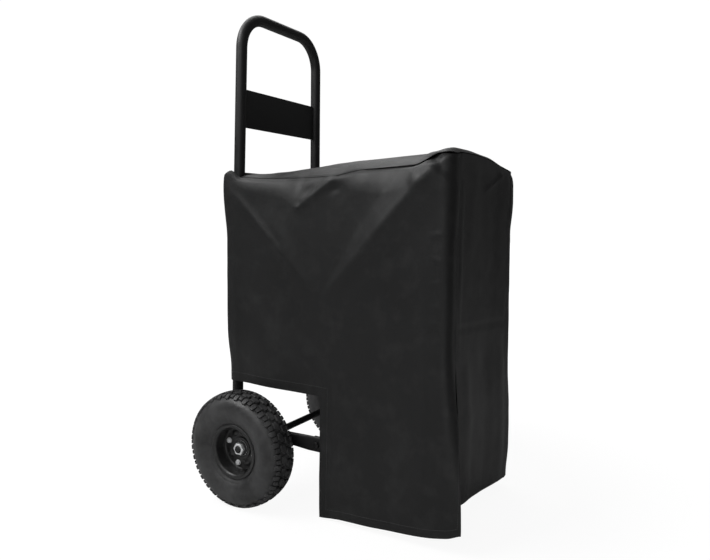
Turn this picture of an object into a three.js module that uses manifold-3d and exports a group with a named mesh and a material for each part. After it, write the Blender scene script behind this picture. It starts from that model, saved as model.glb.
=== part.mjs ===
// A two-wheeled log cart of bent steel tube with a fitted fabric cover.
// Millimetres, +Z up. X runs along the axle, and the cart's front, where the logs lie, faces -Y.
// Inside the cart's group the axle is at Y = 0; the whole group is then moved so that the origin
// is under the middle of the cart's bounding box, on the floor.
import * as THREE from "three";
import { mergeVertices } from "three/addons/utils/BufferGeometryUtils.js";
import Module from "manifold-3d";

const wasm = await Module();
wasm.setup();

// ---- driving dimensions ----
const TUBE_R = 12.5; // frame tube, 25 mm outside
const TUBE_SIDES = 10;
const GAP = 0.35; // air left between pieces that touch or are welded

// Wheels and axle
const WHEEL_R = 130; // 10 inch class pneumatic wheel
const TRACK_HALF = 225; // mid-plane of each wheel from the middle
const AXLE_R = 7.8;
const AXLE_Z = WHEEL_R;
const WHEEL_SEGMENTS = 36; // round the tyre, with a lug or a groove at each
const WHEEL_SIDES = 16; // facets of the hub, bearings and axle
const BOLT_CIRCLE_R = 37.5;
const BOLT_TURN = THREE.MathUtils.degToRad(-17);

// Frame
const RAIL_Z = 150.5; // side rails lie on top of the axle
const UPRIGHT_FOOT = { x: 162.3, y: 65.7, z: RAIL_Z };
const UPRIGHT_TOP = { x: 151.6, y: 57.9, z: 700 }; // where the handle hoop plugs in
const HOOP_TOP = { x: 143.5, y: 46.5, z: 1095 };
const HANDLE_BEND = 75;
const FRAME_BEND = 70;
const SPIGOT_R = 9.3; // reduced ends of the handle hoop, inside the uprights
const SPIGOT_LENGTH = 60;
const SPIGOT_BOLT_Z = 668;
const SOCKET_SPARE = 6; // the sockets are this much deeper than the spigots
const SOCKET_PLAY = 0.9;
const JOINT_Y = -162; // bolt through the flattened ends of the side and base rails
const FLAT_HALF = 4.5; // half thickness of a flattened tube end
const FLAT_REACH = 16; // how far a flattened end runs past its bolt
const FLAT_RISE = { side: 17, base: 15 }; // half height of a flattened tube end
const FLAT_DROP = 2; // its middle lies this far below the round tube's
const FLAT_MARGIN = 2; // spare length of tube before it starts to flatten
const PRESSED_Y = { from: -50, to: -138 }; // the side rails are pressed flat little by little
const RAIL_X = 160; // front ends of the side frames
const JOINT_BOLT_Z = RAIL_Z - FLAT_DROP;
const FRONT_Y = -455; // front hoop
const FRONT_X = 160;
const FRONT_TOP_Z = 735;
const FRONT_FOOT_Z = 132;
const BASE_REAR_X = RAIL_X - 2 * FLAT_HALF - GAP; // base rails run inside the side frames' ends
const BASE_FRONT_X = FRONT_X - TUBE_R - FLAT_HALF - GAP; // and inside the front hoop's legs
const CROSS_R = 7.5; // cross bars
const BASE_CROSS = {
  rear: { y: -42, z: RAIL_Z + 2 }, // in line with the axle, as seen from the cart's front left
  mid: { y: -215, z: RAIL_Z },
  front: { y: -405, z: RAIL_Z },
};
const BACK_RAIL_Z = { lower: 330, upper: 610 };
const LEG_X = 150; // support leg under the base
const LEG_Y = -330;
const LEG_BEND = 42;
const CAP_H = 30; // rubber caps on the support leg
const CAP_FLOOR = 5;
const CAP_WALL = 3.3;
const CAP_BEVEL = { foot: 1.4, rim: 0.9 };
const SADDLE_X = 161.3; // sheet saddles that hang the axle under the rails
const SADDLE_T = 3;
const SADDLE_HALF = TUBE_R + 0.9;
const SADDLE_LENGTH = 36;
const SADDLE_CORNER = 3;
const SADDLE_BELOW = 6.5; // sheet under the axle
const SADDLE_ABOVE = 9; // ears above the rail's middle
const PANEL_Z = [846.5, 932]; // flat plate between the handle's legs
const PANEL_T = 2;

// Hexagon bolts, each with its nut: shank radius, head across corners / 2, head and nut thickness
const RAIL_BOLT = { shank: 4, headR: 7.5, head: 5.5, nut: 6.5 };
const HANDLE_BOLT = { shank: 3, headR: 5.8, head: 4, nut: 5 };
const RIM_BOLT = { shank: 3, headR: 5.8, head: 4.2, nut: 5 };
const BOLT_PLAY = 0.4;
const BOLT_REACH = 24; // half length of the tools that drill the holes
const BOLT_SIDES = 8;
const BOLT_END = 2; // shank past the nut

// Cover
const CLOTH_T = 2;
const SEAM_GAP = 0.8; // below the top panel's edge, where the side panels begin
const SIDE_X = 181; // outer face of the side panels
const FACE_Y = -475; // outer face of the front panel
const FRONT_ROUND = 22; // radius of the cover's front corners
const REAR_ROUND = { above: 11, below: 15 }; // radius of the rear corners, above and below the pinch
const WRAP = 14; // how far the side panels reach round onto the front and back
const BACK_STANDOFF = 17.5; // back panel's outer face behind the uprights' centre line
const PINCH = { z: [390, 285], in: 5.5, forward: 2.5 }; // low down the rear corners hug the uprights
const SHOULDER_BULGE = { z: [600, 690], depth: 8.5 }; // the back bulges under its top edge
const FLARE = { left: 9, right: 5 }; // how far the hems of the flaps swing out
const BELLY = 2; // the middle of a side panel stands out a little
const FRONT_SWING = { z: [390, 200], depth: 8, drawnBack: 4 }; // the front swings out towards its hem
const FRONT_SWELL = { z: [600, 680], waist: 3, top: 9 }; // and swells at the right-hand corner
const SEAM_Z = 740; // nominal height of the seam round the top panel
const HEM_Z = 40; // nominal height of the front hem
const BACK_TOP_Z = 748;
const FRONT_HOLLOW = 3; // the front panel is a little hollow between its corners
const SLOT_Y = 35; // rear edge of the top panel: the handle's slot lies behind it
const REAR_HEM_Z = 265;
const FLAP_Y = -186; // the hem steps down to the floor in front of the wheel
const SLIT_Z = 362; // below this the left flap hangs free of the front panel
const FLAP_OPEN_Z = 40; // where the free flap has swung out straight
const FLAP_STRAIGHT = 0.93; // the share of the corner's bend that it loses on the way
const RIGHT_TENT = 0.55; // the right side leans in less than the left
const SQUARENESS = 4; // how level the top stays before it falls to its seams

// ---- helpers ----
const clamp01 = (t) => Math.min(1, Math.max(0, t));
const smooth = (a, b, t) => {
  const s = clamp01((t - a) / (b - a));
  return s * s * (3 - 2 * s);
};
const mix = (a, b, t) => a + (b - a) * t;
const vec = (p) => new THREE.Vector3(p.x, p.y, p.z);

// Straight-line interpolation through [at, value] pairs, in rising order of at.
function along(pairs, t) {
  if (t <= pairs[0][0]) return pairs[0][1];
  for (let i = 1; i < pairs.length; i++) {
    const [[a, va], [b, vb]] = [pairs[i - 1], pairs[i]];
    if (t <= b) return mix(va, vb, (t - a) / (b - a));
  }
  return pairs[pairs.length - 1][1];
}

function solid(geometry) {
  const bare = geometry.clone();
  bare.deleteAttribute("normal");
  bare.deleteAttribute("uv");
  const merged = mergeVertices(bare, 1e-3);
  return new wasm.Manifold(
    new wasm.Mesh({
      numProp: 3,
      vertProperties: merged.attributes.position.array,
      triVerts: new Uint32Array(merged.index.array),
    }),
  );
}

function geometryOf(manifold) {
  const mesh = manifold.getMesh();
  const geometry = new THREE.BufferGeometry();
  geometry.setAttribute("position", new THREE.BufferAttribute(mesh.vertProperties, 3));
  geometry.setIndex(new THREE.BufferAttribute(mesh.triVerts, 1));
  return geometry;
}

const cut = (geometry, ...tools) =>
  geometryOf(tools.reduce((body, tool) => body.subtract(solid(tool)), solid(geometry)));
const join = (...parts) =>
  geometryOf(parts.slice(1).reduce((body, part) => body.add(solid(part)), solid(parts[0])));

// A route of straight runs and round bends, with a station only where the tube has to turn.
class TubeRoute extends THREE.Curve {
  constructor(corners, radius, bendSteps = 6) {
    super();
    const points = corners.map(vec);
    this.stations = [];
    const add = (point, tangent) => this.stations.push({ point, tangent });
    const heading = (i) => points[i + 1].clone().sub(points[i]).normalize();
    add(points[0], heading(0));
    for (let i = 1; i < points.length - 1; i++) {
      const [inward, outward] = [heading(i - 1), heading(i)];
      const angle = inward.angleTo(outward);
      if (angle < 1e-3) {
        add(points[i], inward);
        continue;
      }
      const side = outward.clone().addScaledVector(inward, -Math.cos(angle)).normalize();
      const start = points[i].clone().addScaledVector(inward, -radius * Math.tan(angle / 2));
      for (let k = 0; k <= bendSteps; k++) {
        const a = (angle * k) / bendSteps;
        const point = start.clone().addScaledVector(inward, radius * Math.sin(a));
        point.addScaledVector(side, radius * (1 - Math.cos(a)));
        const tangent = inward.clone().multiplyScalar(Math.cos(a));
        add(point, tangent.addScaledVector(side, Math.sin(a)));
      }
    }
    add(points[points.length - 1], heading(points.length - 2));
  }
  get steps() {
    return this.stations.length - 1;
  }
  station(u) {
    return this.stations[Math.round(u * this.steps)];
  }
  getPointAt(u, target = new THREE.Vector3()) {
    return target.copy(this.station(u).point);
  }
  getTangentAt(u, target = new THREE.Vector3()) {
    return target.copy(this.station(u).tangent);
  }
}

function circle(radius, sides, turn = 0) {
  const corner = (k) => {
    const a = turn + (2 * Math.PI * k) / sides;
    return new THREE.Vector2(radius * Math.cos(a), radius * Math.sin(a));
  };
  return new THREE.Shape(Array.from({ length: sides }, (_, k) => corner(k)));
}

function tube(corners, { radius = TUBE_R, bend = FRAME_BEND, sides = TUBE_SIDES, steps = 6 } = {}) {
  const route = new TubeRoute(corners, bend, steps);
  return new THREE.ExtrudeGeometry(circle(radius, sides, Math.PI / sides), {
    extrudePath: route,
    steps: route.steps,
    bevelEnabled: false,
  });
}

// Turned body about the X axis: profile of [radius, distance out along X], closed on itself.
function turned(profile, segments = 24) {
  const points = profile.map(([r, a]) => new THREE.Vector2(r, a));
  if (profile[0][0] > 0 || profile[profile.length - 1][0] > 0) points.push(points[0].clone());
  return new THREE.LatheGeometry(points, segments).rotateZ(-Math.PI / 2);
}

// Round bar from one point to another.
function bar(from, to, radius, sides = 16) {
  const [a, b] = [vec(from), vec(to)];
  const run = b.clone().sub(a);
  const turn = new THREE.Quaternion().setFromUnitVectors(
    new THREE.Vector3(0, 1, 0),
    run.clone().normalize(),
  );
  const middle = a.clone().addScaledVector(run, 0.5);
  return new THREE.CylinderGeometry(radius, radius, run.length(), sides)
    .applyQuaternion(turn)
    .translate(middle.x, middle.y, middle.z);
}

const material = (color, roughness, metalness) =>
  new THREE.MeshStandardMaterial({ color, roughness, metalness });
const BLACK_PAINT = material(0x1b1b1c, 0.35, 0.2);
const CLOTH = material(0x232425, 0.7, 0);
const RUBBER = material(0x2a2a2b, 0.85, 0);
const ZINC = material(0xc9ccd0, 0.3, 1);

const cart = new THREE.Group();
function piece(name, geometry, finish, parent = cart) {
  const mesh = new THREE.Mesh(geometry, finish);
  mesh.name = name;
  parent.add(mesh);
  return mesh;
}
const SIDES = [
  ["left", -1],
  ["right", 1],
];
const at = (side, x, y, z) => ({ x: side * x, y, z });

// ---- frame ----
const uprightAt = (z) => {
  const [low, high] = z < UPRIGHT_TOP.z ? [UPRIGHT_FOOT, UPRIGHT_TOP] : [UPRIGHT_TOP, HOOP_TOP];
  const t = (z - low.z) / (high.z - low.z);
  return { x: mix(low.x, high.x, t), y: mix(low.y, high.y, t), z };
};
const sided = (side, p) => ({ x: side * p.x, y: p.y, z: p.z });

// A round tube end pressed flat across X: squash(y) is 0 on the round tube and 1 on the flat.
function flattened(geometry, rise, squash, centreX) {
  const p = geometry.attributes.position;
  for (let i = 0; i < p.count; i++) {
    const t = squash(p.getY(i));
    if (t === 0) continue;
    const middle = centreX(p.getY(i));
    p.setX(i, middle + (p.getX(i) - middle) * mix(1, FLAT_HALF / TUBE_R, t));
    p.setZ(i, RAIL_Z - FLAT_DROP * t + (p.getZ(i) - RAIL_Z) * mix(1, rise / TUBE_R, t));
  }
  return geometry;
}

function handleHoop() {
  const foot = uprightAt(UPRIGHT_TOP.z + GAP);
  const hoop = tube([sided(-1, foot), sided(-1, HOOP_TOP), HOOP_TOP, foot], { bend: HANDLE_BEND });
  const spigots = SIDES.map(([, side]) => spigotBar(side, SPIGOT_LENGTH, SPIGOT_R));
  return cut(join(hoop, ...spigots), ...SIDES.map(([, side]) => handleBoltHole(side)));
}

// Bar down the middle of an upright's top end: the handle's spigot, or the socket for it.
const SPIGOT_ROOT = 8; // overlap with the tube above
const spigotBar = (side, length, radius) =>
  bar(
    sided(side, uprightAt(UPRIGHT_TOP.z - length)),
    sided(side, uprightAt(UPRIGHT_TOP.z + SPIGOT_ROOT)),
    radius,
    TUBE_SIDES,
  );

// Hole along X, centred on a point, for a bolt.
const boltHole = ({ x, y, z }, radius) =>
  bar({ x: x - BOLT_REACH, y, z }, { x: x + BOLT_REACH, y, z }, radius, BOLT_SIDES);
const handleBoltHole = (side) =>
  boltHole(sided(side, uprightAt(SPIGOT_BOLT_Z)), HANDLE_BOLT.shank + BOLT_PLAY);

// Upright and side rail in one bent tube; its front end is pressed flat for the joint bolt.
function sideFrame(side) {
  const { from, to } = PRESSED_Y;
  const rail = [from, mix(from, to, 0.5), to, JOINT_Y - FLAT_REACH].map((y) =>
    at(side, RAIL_X, y, RAIL_Z),
  );
  const frame = tube([sided(side, UPRIGHT_TOP), sided(side, UPRIGHT_FOOT), ...rail]);
  const squash = (y) => clamp01((from - y) / (from - to));
  const pressed = flattened(frame, FLAT_RISE.side, squash, () => side * RAIL_X);
  const socket = spigotBar(side, SPIGOT_LENGTH + SOCKET_SPARE, SPIGOT_R + SOCKET_PLAY);
  const jointHole = boltHole(at(side, RAIL_X, JOINT_Y, JOINT_BOLT_Z), RAIL_BOLT.shank + BOLT_PLAY);
  return cut(pressed, socket, handleBoltHole(side), jointHole);
}

// Base rail: both ends are pressed flat, one against the side frame and one against the front hoop.
const BASE_REAR_ROUND = JOINT_Y - 2 * FLAT_REACH - FLAT_MARGIN; // the base rails are round between these two
const BASE_FRONT_ROUND = FRONT_Y + 2 * FLAT_REACH;
const BASE_END = 10; // how far the front end runs past its bolt
function baseRail(side) {
  const [rearRound, frontRound] = [BASE_REAR_ROUND, BASE_FRONT_ROUND];
  const stations = [
    JOINT_Y + FLAT_REACH - FLAT_MARGIN,
    rearRound + FLAT_REACH,
    rearRound,
    frontRound,
    frontRound - FLAT_REACH,
    FRONT_Y - BASE_END,
  ];
  const squash = (y) =>
    Math.max(clamp01((y - rearRound) / FLAT_REACH), clamp01((frontRound - y) / FLAT_REACH));
  const corners = stations.map((y) => at(side, baseRailX(y), y, RAIL_Z));
  const rail = tube(corners, { bend: 30, steps: 2 });
  const holes = [at(side, BASE_REAR_X, JOINT_Y, JOINT_BOLT_Z), at(side, BASE_FRONT_X, FRONT_Y, RAIL_Z)];
  return cut(
    flattened(rail, FLAT_RISE.base, squash, (y) => side * baseRailX(y)),
    ...holes.map((hole) => boltHole(hole, RAIL_BOLT.shank + BOLT_PLAY)),
  );
}

// The base rails draw in towards the front.
function baseRailX(y) {
  const t = clamp01((BASE_REAR_ROUND - y) / (BASE_REAR_ROUND - BASE_FRONT_ROUND));
  return mix(BASE_REAR_X, BASE_FRONT_X, t);
}

function frontHoop() {
  const foot = { x: FRONT_X, y: FRONT_Y, z: FRONT_FOOT_Z };
  const top = { x: FRONT_X, y: FRONT_Y, z: FRONT_TOP_Z };
  const hoop = tube([sided(-1, foot), sided(-1, top), top, foot], { bend: HANDLE_BEND });
  const holes = SIDES.map(([, side]) =>
    boltHole(at(side, FRONT_X, FRONT_Y, RAIL_Z), RAIL_BOLT.shank + BOLT_PLAY),
  );
  return cut(hoop, ...holes);
}

// Plate filling the space between the handle's legs, in the plane of their centre lines.
function handlePanel() {
  const [low, high] = PANEL_Z.map(uprightAt);
  const outline = [
    [low, -1],
    [low, 1],
    [high, 1],
    [high, -1],
  ].map(([p, side]) => new THREE.Vector2(side * (p.x - TUBE_R - GAP), p.z - low.z));
  const lean = Math.atan2(low.y - high.y, high.z - low.z);
  return new THREE.ExtrudeGeometry(new THREE.Shape(outline), { depth: PANEL_T, bevelEnabled: false })
    .translate(0, 0, -PANEL_T / 2)
    .rotateX(Math.PI / 2 + lean)
    .translate(0, low.y, low.z);
}

const crossBar = (halfLength, y, z) =>
  bar({ x: -halfLength, y, z }, { x: halfLength, y, z }, CROSS_R, TUBE_SIDES);

// Inverted U under the base rails: its top bar carries them and its legs end in the foot caps.
function supportLeg() {
  const foot = { x: LEG_X, y: LEG_Y, z: CAP_FLOOR + GAP };
  const top = { x: LEG_X, y: LEG_Y, z: RAIL_Z - 2 * TUBE_R - GAP };
  return tube([sided(-1, foot), sided(-1, top), top, foot], { bend: LEG_BEND, steps: 5 });
}

function footCap(side) {
  const [bore, outside] = [TUBE_R + GAP, TUBE_R + CAP_WALL];
  const { foot, rim } = CAP_BEVEL;
  const profile = [
    [0, 0],
    [outside - foot, 0],
    [outside, foot],
    [outside, CAP_H - rim],
    [outside - rim, CAP_H],
    [bore, CAP_H],
    [bore, CAP_FLOOR],
    [0, CAP_FLOOR],
  ].map(([r, z]) => new THREE.Vector2(r, z));
  return new THREE.LatheGeometry(profile, 16).rotateX(Math.PI / 2).translate(side * LEG_X, LEG_Y, 0);
}

// Hexagon-headed bolt along X with its nut, in one piece. The head's inner face is at distance x from
// the middle of the cart, and grip is the thickness between head and nut.
function bolt(side, { shank, headR, head, nut }, grip, { x, y, z }, turn = 0) {
  const end = grip + nut;
  const profile = [
    [0, head],
    [headR, head],
    [headR, 0],
    [shank, 0],
    [shank, -grip],
    [headR, -grip],
    [headR, -end],
    [shank, -end],
    [shank, -end - BOLT_END],
    [0, -end - BOLT_END],
  ];
  const geometry = turned(profile.reverse(), 6).rotateX(turn);
  if (side < 0) geometry.rotateZ(Math.PI);
  return geometry.translate(side * x, y, z);
}

// U-shaped saddle that wraps a side rail and holds the axle under it.
function axleSaddle(side) {
  const [outer, corner] = [SADDLE_HALF + SADDLE_T, SADDLE_CORNER];
  const [low, high] = [AXLE_Z - AXLE_R - SADDLE_BELOW, RAIL_Z + SADDLE_ABOVE];
  const outline = [
    [-outer, high],
    [-outer, low + corner],
    [-outer + corner, low],
    [outer - corner, low],
    [outer, low + corner],
    [outer, high],
    [SADDLE_HALF, high],
    [SADDLE_HALF, low + SADDLE_T],
    [-SADDLE_HALF, low + SADDLE_T],
    [-SADDLE_HALF, high],
  ].map(([x, z]) => new THREE.Vector2(x, z));
  const channel = new THREE.ExtrudeGeometry(new THREE.Shape(outline), {
    depth: SADDLE_LENGTH,
    bevelEnabled: false,
  })
    .rotateX(Math.PI / 2)
    .translate(side * SADDLE_X, SADDLE_LENGTH / 2, 0);
  const ends = [-2, 2].map((widths) => at(side, SADDLE_X + widths * outer, 0, AXLE_Z));
  return cut(channel, bar(...ends, AXLE_R + BOLT_PLAY, WHEEL_SIDES));
}

piece("handle_hoop", handleHoop(), BLACK_PAINT);
piece("handle_panel", handlePanel(), BLACK_PAINT);
for (const [name, side] of SIDES) {
  piece(`side_frame_${name}`, sideFrame(side), BLACK_PAINT);
  piece(`base_rail_${name}`, baseRail(side), BLACK_PAINT);
  piece(`foot_cap_${name}`, footCap(side), RUBBER);
  piece(`axle_saddle_${name}`, axleSaddle(side), BLACK_PAINT);
  const jointFace = { x: RAIL_X + FLAT_HALF + GAP, y: JOINT_Y, z: JOINT_BOLT_Z };
  const jointGrip = 4 * FLAT_HALF + 3 * GAP;
  piece(`rail_bolt_${name}`, bolt(side, RAIL_BOLT, jointGrip, jointFace), BLACK_PAINT);
  const hoopFace = { x: FRONT_X + TUBE_R + GAP, y: FRONT_Y, z: RAIL_Z };
  const hoopGrip = 2 * TUBE_R + 2 * FLAT_HALF + 3 * GAP;
  piece(`front_bolt_${name}`, bolt(side, RAIL_BOLT, hoopGrip, hoopFace), BLACK_PAINT);
  const upright = uprightAt(SPIGOT_BOLT_Z);
  const handleFace = { ...upright, x: upright.x + TUBE_R + GAP };
  const handleGrip = 2 * TUBE_R + 2 * GAP;
  piece(`handle_bolt_${name}`, bolt(side, HANDLE_BOLT, handleGrip, handleFace), BLACK_PAINT);
}
for (const [name, { y, z }] of Object.entries(BASE_CROSS)) {
  const inside = (name === "rear" ? RAIL_X : baseRailX(y)) - TUBE_R - GAP;
  piece(`base_cross_${name}`, crossBar(inside, y, z), BLACK_PAINT);
}
for (const [name, z] of Object.entries(BACK_RAIL_Z)) {
  const { x, y } = uprightAt(z);
  piece(`back_rail_${name}`, crossBar(x - TUBE_R - GAP, y, z), BLACK_PAINT);
}
piece("front_hoop", frontHoop(), BLACK_PAINT);
piece("support_leg", supportLeg(), BLACK_PAINT);

// ---- axle and wheels; distances along the axle are measured outwards from a wheel's mid-plane ----
const HUB_FACE = 1;
const HUB_END = -36;
const HUB_R = 20;
const HUB_FLANGE_R = 25;
const BEARING_R = 17.4;
const BEARING_W = 11;
const AXLE_PLAY = 0.25;
const AXLE_END = 14; // the axle's threaded end stands this far outside the mid-plane
const POCKET_PLAY = 0.4; // round each bearing
const POCKET_SPARE = 1; // and behind it
const HUB_BORE_PLAY = 2.2;
const FLANGE_T = 2.8;
const BEARING_INSET = 0.5; // from the hub's ends
const SPACER_R = 11.5;
const WASHER = { radius: 16.8, outer: 2.5 }; // distances from the hub's face
const NUT = { bore: 9.5, radius: 14.2, inner: 2.8, outer: 10.5 };
function tyre() {
  // Carcass of a knobbly tyre, open at the beads; the lugs are raised by treaded().
  const section = [
    [52.9, 19],
    [52.9, 24.7],
    [63, 25.2],
    [76, 37],
    [98, 40],
    [120, 37],
    [130, 26],
    [130, 8],
  ];
  const lining = [
    [117, 22],
    [90, 34],
    [64, 20],
  ];
  const mirrored = (points) => points.map(([r, a]) => [r, -a]);
  const outside = [...section, [125, 0], ...mirrored(section).reverse()];
  const inside = [...mirrored(lining).reverse(), ...lining];
  return treaded(turned([...outside, ...inside].reverse(), WHEEL_SEGMENTS));
}

// Alternate spokes of the tread are let in, so that lugs stand between them, staggered left and right.
const TREAD_FLOOR_R = 126;
const LUG_DEPTH = 5;
function treaded(geometry) {
  const p = geometry.attributes.position;
  for (let i = 0; i < p.count; i++) {
    const [x, y, z] = [p.getX(i), p.getY(i), p.getZ(i)];
    const r = Math.hypot(y, z);
    if (r < TREAD_FLOOR_R) continue;
    const spoke = Math.round((Math.atan2(z, y) / (2 * Math.PI)) * WHEEL_SEGMENTS);
    const standing = (spoke + (x > 0 ? 1 : 0)) % 2 === 0;
    const resting = spoke % (WHEEL_SEGMENTS / 4) === 0;
    if (standing || resting) continue;
    p.setY(i, (y * (r - LUG_DEPTH)) / r);
    p.setZ(i, (z * (r - LUG_DEPTH)) / r);
  }
  return geometry;
}

// Pressed rim half: a closed profile from a centre line of [radius, distance] and the sheet's thickness.
const RIM_T = 1.8;
const RIM_SIDES = 20;
function rimHalf(line) {
  const points = line.map(([r, a]) => new THREE.Vector2(r, a));
  const offset = (sign) =>
    points.map((p, i) => {
      const before = points[Math.max(0, i - 1)];
      const after = points[Math.min(points.length - 1, i + 1)];
      const one = p === before ? null : p.clone().sub(before).normalize();
      const two = p === after ? null : after.clone().sub(p).normalize();
      const run = (one ?? two).clone().add(two ?? one).normalize();
      const spread = one && two ? Math.max(0.5, run.dot(one)) : 1;
      const normal = new THREE.Vector2(-run.y, run.x).multiplyScalar((sign * RIM_T) / 2 / spread);
      return [p.x + normal.x, p.y + normal.y];
    });
  return turned([...offset(-1), ...offset(1).reverse()], RIM_SIDES);
}
const OUTER_RIM = [
  [61.2, 25.8],
  [60.2, 28.2],
  [57, 29.2],
  [51.5, 25],
  [51, 3],
  [48, -3],
  [20.8, -3],
];
const INNER_RIM = [
  [20.8, -5.1],
  [48, -5.1],
  [51, -11],
  [51.5, -25],
  [57, -29.2],
  [60.2, -28.2],
  [61.2, -25.8],
];
const RIM_SEAT = -1.9; // where the rim bolts' heads sit
const RIM_GRIP = 4.6;
const rimBoltPlaces = () =>
  Array.from({ length: 4 }, (_, k) => {
    const a = BOLT_TURN + (k * Math.PI) / 2;
    return { x: RIM_SEAT, y: BOLT_CIRCLE_R * Math.cos(a), z: BOLT_CIRCLE_R * Math.sin(a) };
  });

// The valve comes out of the rim's well, low and towards the rear, and leans outwards.
const VALVE_TURN = THREE.MathUtils.degToRad(-52);
const VALVE_FROM = { r: 56, a: 2 };
const VALVE_TO = { r: 43, a: 30 };
const VALVE_R = { hole: 4.6, root: 4.1, stem: 3.2 };
function valvePoint(t) {
  const [r, x] = [mix(VALVE_FROM.r, VALVE_TO.r, t), mix(VALVE_FROM.a, VALVE_TO.a, t)];
  return { x, y: r * Math.cos(VALVE_TURN), z: r * Math.sin(VALVE_TURN) };
}

// The hub has a bearing pocket at each end and a flange that the rim is clamped against.
function hub() {
  const [pocket, depth] = [BEARING_R + POCKET_PLAY, BEARING_W + POCKET_SPARE];
  const bore = AXLE_R + HUB_BORE_PLAY;
  return turned(
    [
      [bore, HUB_END + depth],
      [pocket, HUB_END + depth],
      [pocket, HUB_END],
      [HUB_R, HUB_END],
      [HUB_R, HUB_FACE - FLANGE_T],
      [HUB_FLANGE_R, HUB_FACE - FLANGE_T],
      [HUB_FLANGE_R, HUB_FACE - 1],
      [HUB_FLANGE_R - 2, HUB_FACE],
      [pocket, HUB_FACE],
      [pocket, HUB_FACE - depth],
      [bore, HUB_FACE - depth],
    ],
    WHEEL_SIDES,
  );
}

// Washer, spacer, bearing or nut: a ring between two distances along the axle.
const ring = (bore, radius, low, high, segments = WHEEL_SIDES) =>
  turned([[bore, low], [radius, low], [radius, high], [bore, high]], segments);

const INNER_TUBE = { centreR: 85.5, radial: 28, axial: 26.5, steps: 8 };
function innerTube() {
  const { centreR, radial, axial, steps } = INNER_TUBE;
  const around = Array.from({ length: steps }, (_, k) => {
    const a = (2 * Math.PI * (k + 0.5)) / steps;
    return [centreR - radial * Math.cos(a), axial * Math.sin(a)];
  });
  return turned(around.reverse(), WHEEL_SEGMENTS / 2);
}

function wheelPieces(name, side) {
  const wheel = new THREE.Group();
  wheel.position.set(side * TRACK_HALF, 0, AXLE_Z);
  if (side < 0) wheel.rotation.z = Math.PI; // outwards is +X inside a wheel, so the left one is turned
  cart.add(wheel);
  const add = (what, geometry, finish) => piece(`${name}_${what}`, geometry, finish, wheel);
  add("tyre", tyre(), RUBBER);
  add("inner_tube", innerTube(), RUBBER);
  const valveHole = bar(valvePoint(0), valvePoint(1), VALVE_R.hole, BOLT_SIDES);
  const boltHoles = () => rimBoltPlaces().map((p) => boltHole(p, RIM_BOLT.shank + BOLT_PLAY));
  add("rim_outer", cut(rimHalf(OUTER_RIM), ...boltHoles(), valveHole), BLACK_PAINT);
  add("rim_inner", cut(rimHalf(INNER_RIM), ...boltHoles()), BLACK_PAINT);
  add("hub", hub(), BLACK_PAINT);
  const bearing = (from) => ring(AXLE_R + AXLE_PLAY, BEARING_R, from, from + BEARING_W);
  add("bearing_outer", bearing(HUB_FACE - BEARING_INSET - BEARING_W), ZINC);
  add("bearing_inner", bearing(HUB_END + BEARING_INSET), ZINC);
  rimBoltPlaces().forEach((place, k) => {
    const seat = { ...place, x: RIM_SEAT };
    add(`rim_bolt_${k + 1}`, bolt(1, RIM_BOLT, RIM_GRIP, seat, BOLT_TURN + (k * Math.PI) / 2), ZINC);
  });
  const stem = bar(valvePoint(0.5), valvePoint(1), VALVE_R.stem, BOLT_SIDES);
  const root = bar(valvePoint(0.15), valvePoint(0.6), VALVE_R.root, BOLT_SIDES);
  add("valve_stem", join(root, stem), RUBBER);
}

const axleEnd = (side) => at(side, TRACK_HALF + AXLE_END, 0, AXLE_Z);
piece("axle", bar(axleEnd(-1), axleEnd(1), AXLE_R, WHEEL_SIDES), BLACK_PAINT);
for (const [name, side] of SIDES) {
  wheelPieces(name, side);
  const placed = (geometry) => {
    if (side < 0) geometry.rotateZ(Math.PI);
    return geometry.translate(side * TRACK_HALF, 0, AXLE_Z);
  };
  const saddleFace = SADDLE_X + SADDLE_HALF + SADDLE_T - TRACK_HALF;
  const bore = AXLE_R + AXLE_PLAY;
  const spacer = ring(bore, SPACER_R, saddleFace + GAP, HUB_END + 0.1);
  piece(`axle_spacer_${name}`, placed(spacer), ZINC);
  const washer = ring(bore, WASHER.radius, HUB_FACE + GAP, HUB_FACE + WASHER.outer);
  piece(`axle_washer_${name}`, placed(washer), ZINC);
  // The nut's bore is a hexagon too, so its flats stand clear of the axle.
  const nut = ring(NUT.bore, NUT.radius, HUB_FACE + NUT.inner, HUB_FACE + NUT.outer, 6);
  piece(`axle_nut_${name}`, placed(nut), ZINC);
}

// ---- cover ----
// Height of the seam between the side and top panels, from the front corner to the rear.
const SEAM = [
  [-475, 768],
  [-455, 757],
  [-432, 743],
  [-370, 742],
  [-270, 738],
  [-247, 734],
  [-217, 727],
  [-90, 727],
  [-34, 728],
  [44, 732.5],
  [50, 748],
  [57, 753],
  [70, 745],
  [85, 735],
];
const RIGHT_SEAM_FRONT = 738;
// Crest of the top panel along its middle, and its front edge from left to right.
const CREST = [
  [-420, 773],
  [-367, 769.5],
  [-277, 767],
  [-228, 765.5],
  [-175, 763],
  [-112, 756],
  [-46, 747],
  [0, 743],
  [38, 745],
];
const FRONT_EDGE = [
  [-178, 768],
  [-136, 773.5],
  [-52, 774.5],
  [44, 770],
  [97, 760],
  [153, 751.5],
  [178, 738],
];
const FRONT_ROLL = { from: -455, drop: 9 }; // the top rolls over its front edge
const seamAt = (side, y) => {
  const left = along(SEAM, y);
  return side < 0 ? left : mix(left, Math.min(left, RIGHT_SEAM_FRONT), smooth(-400, -460, y));
};

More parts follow.
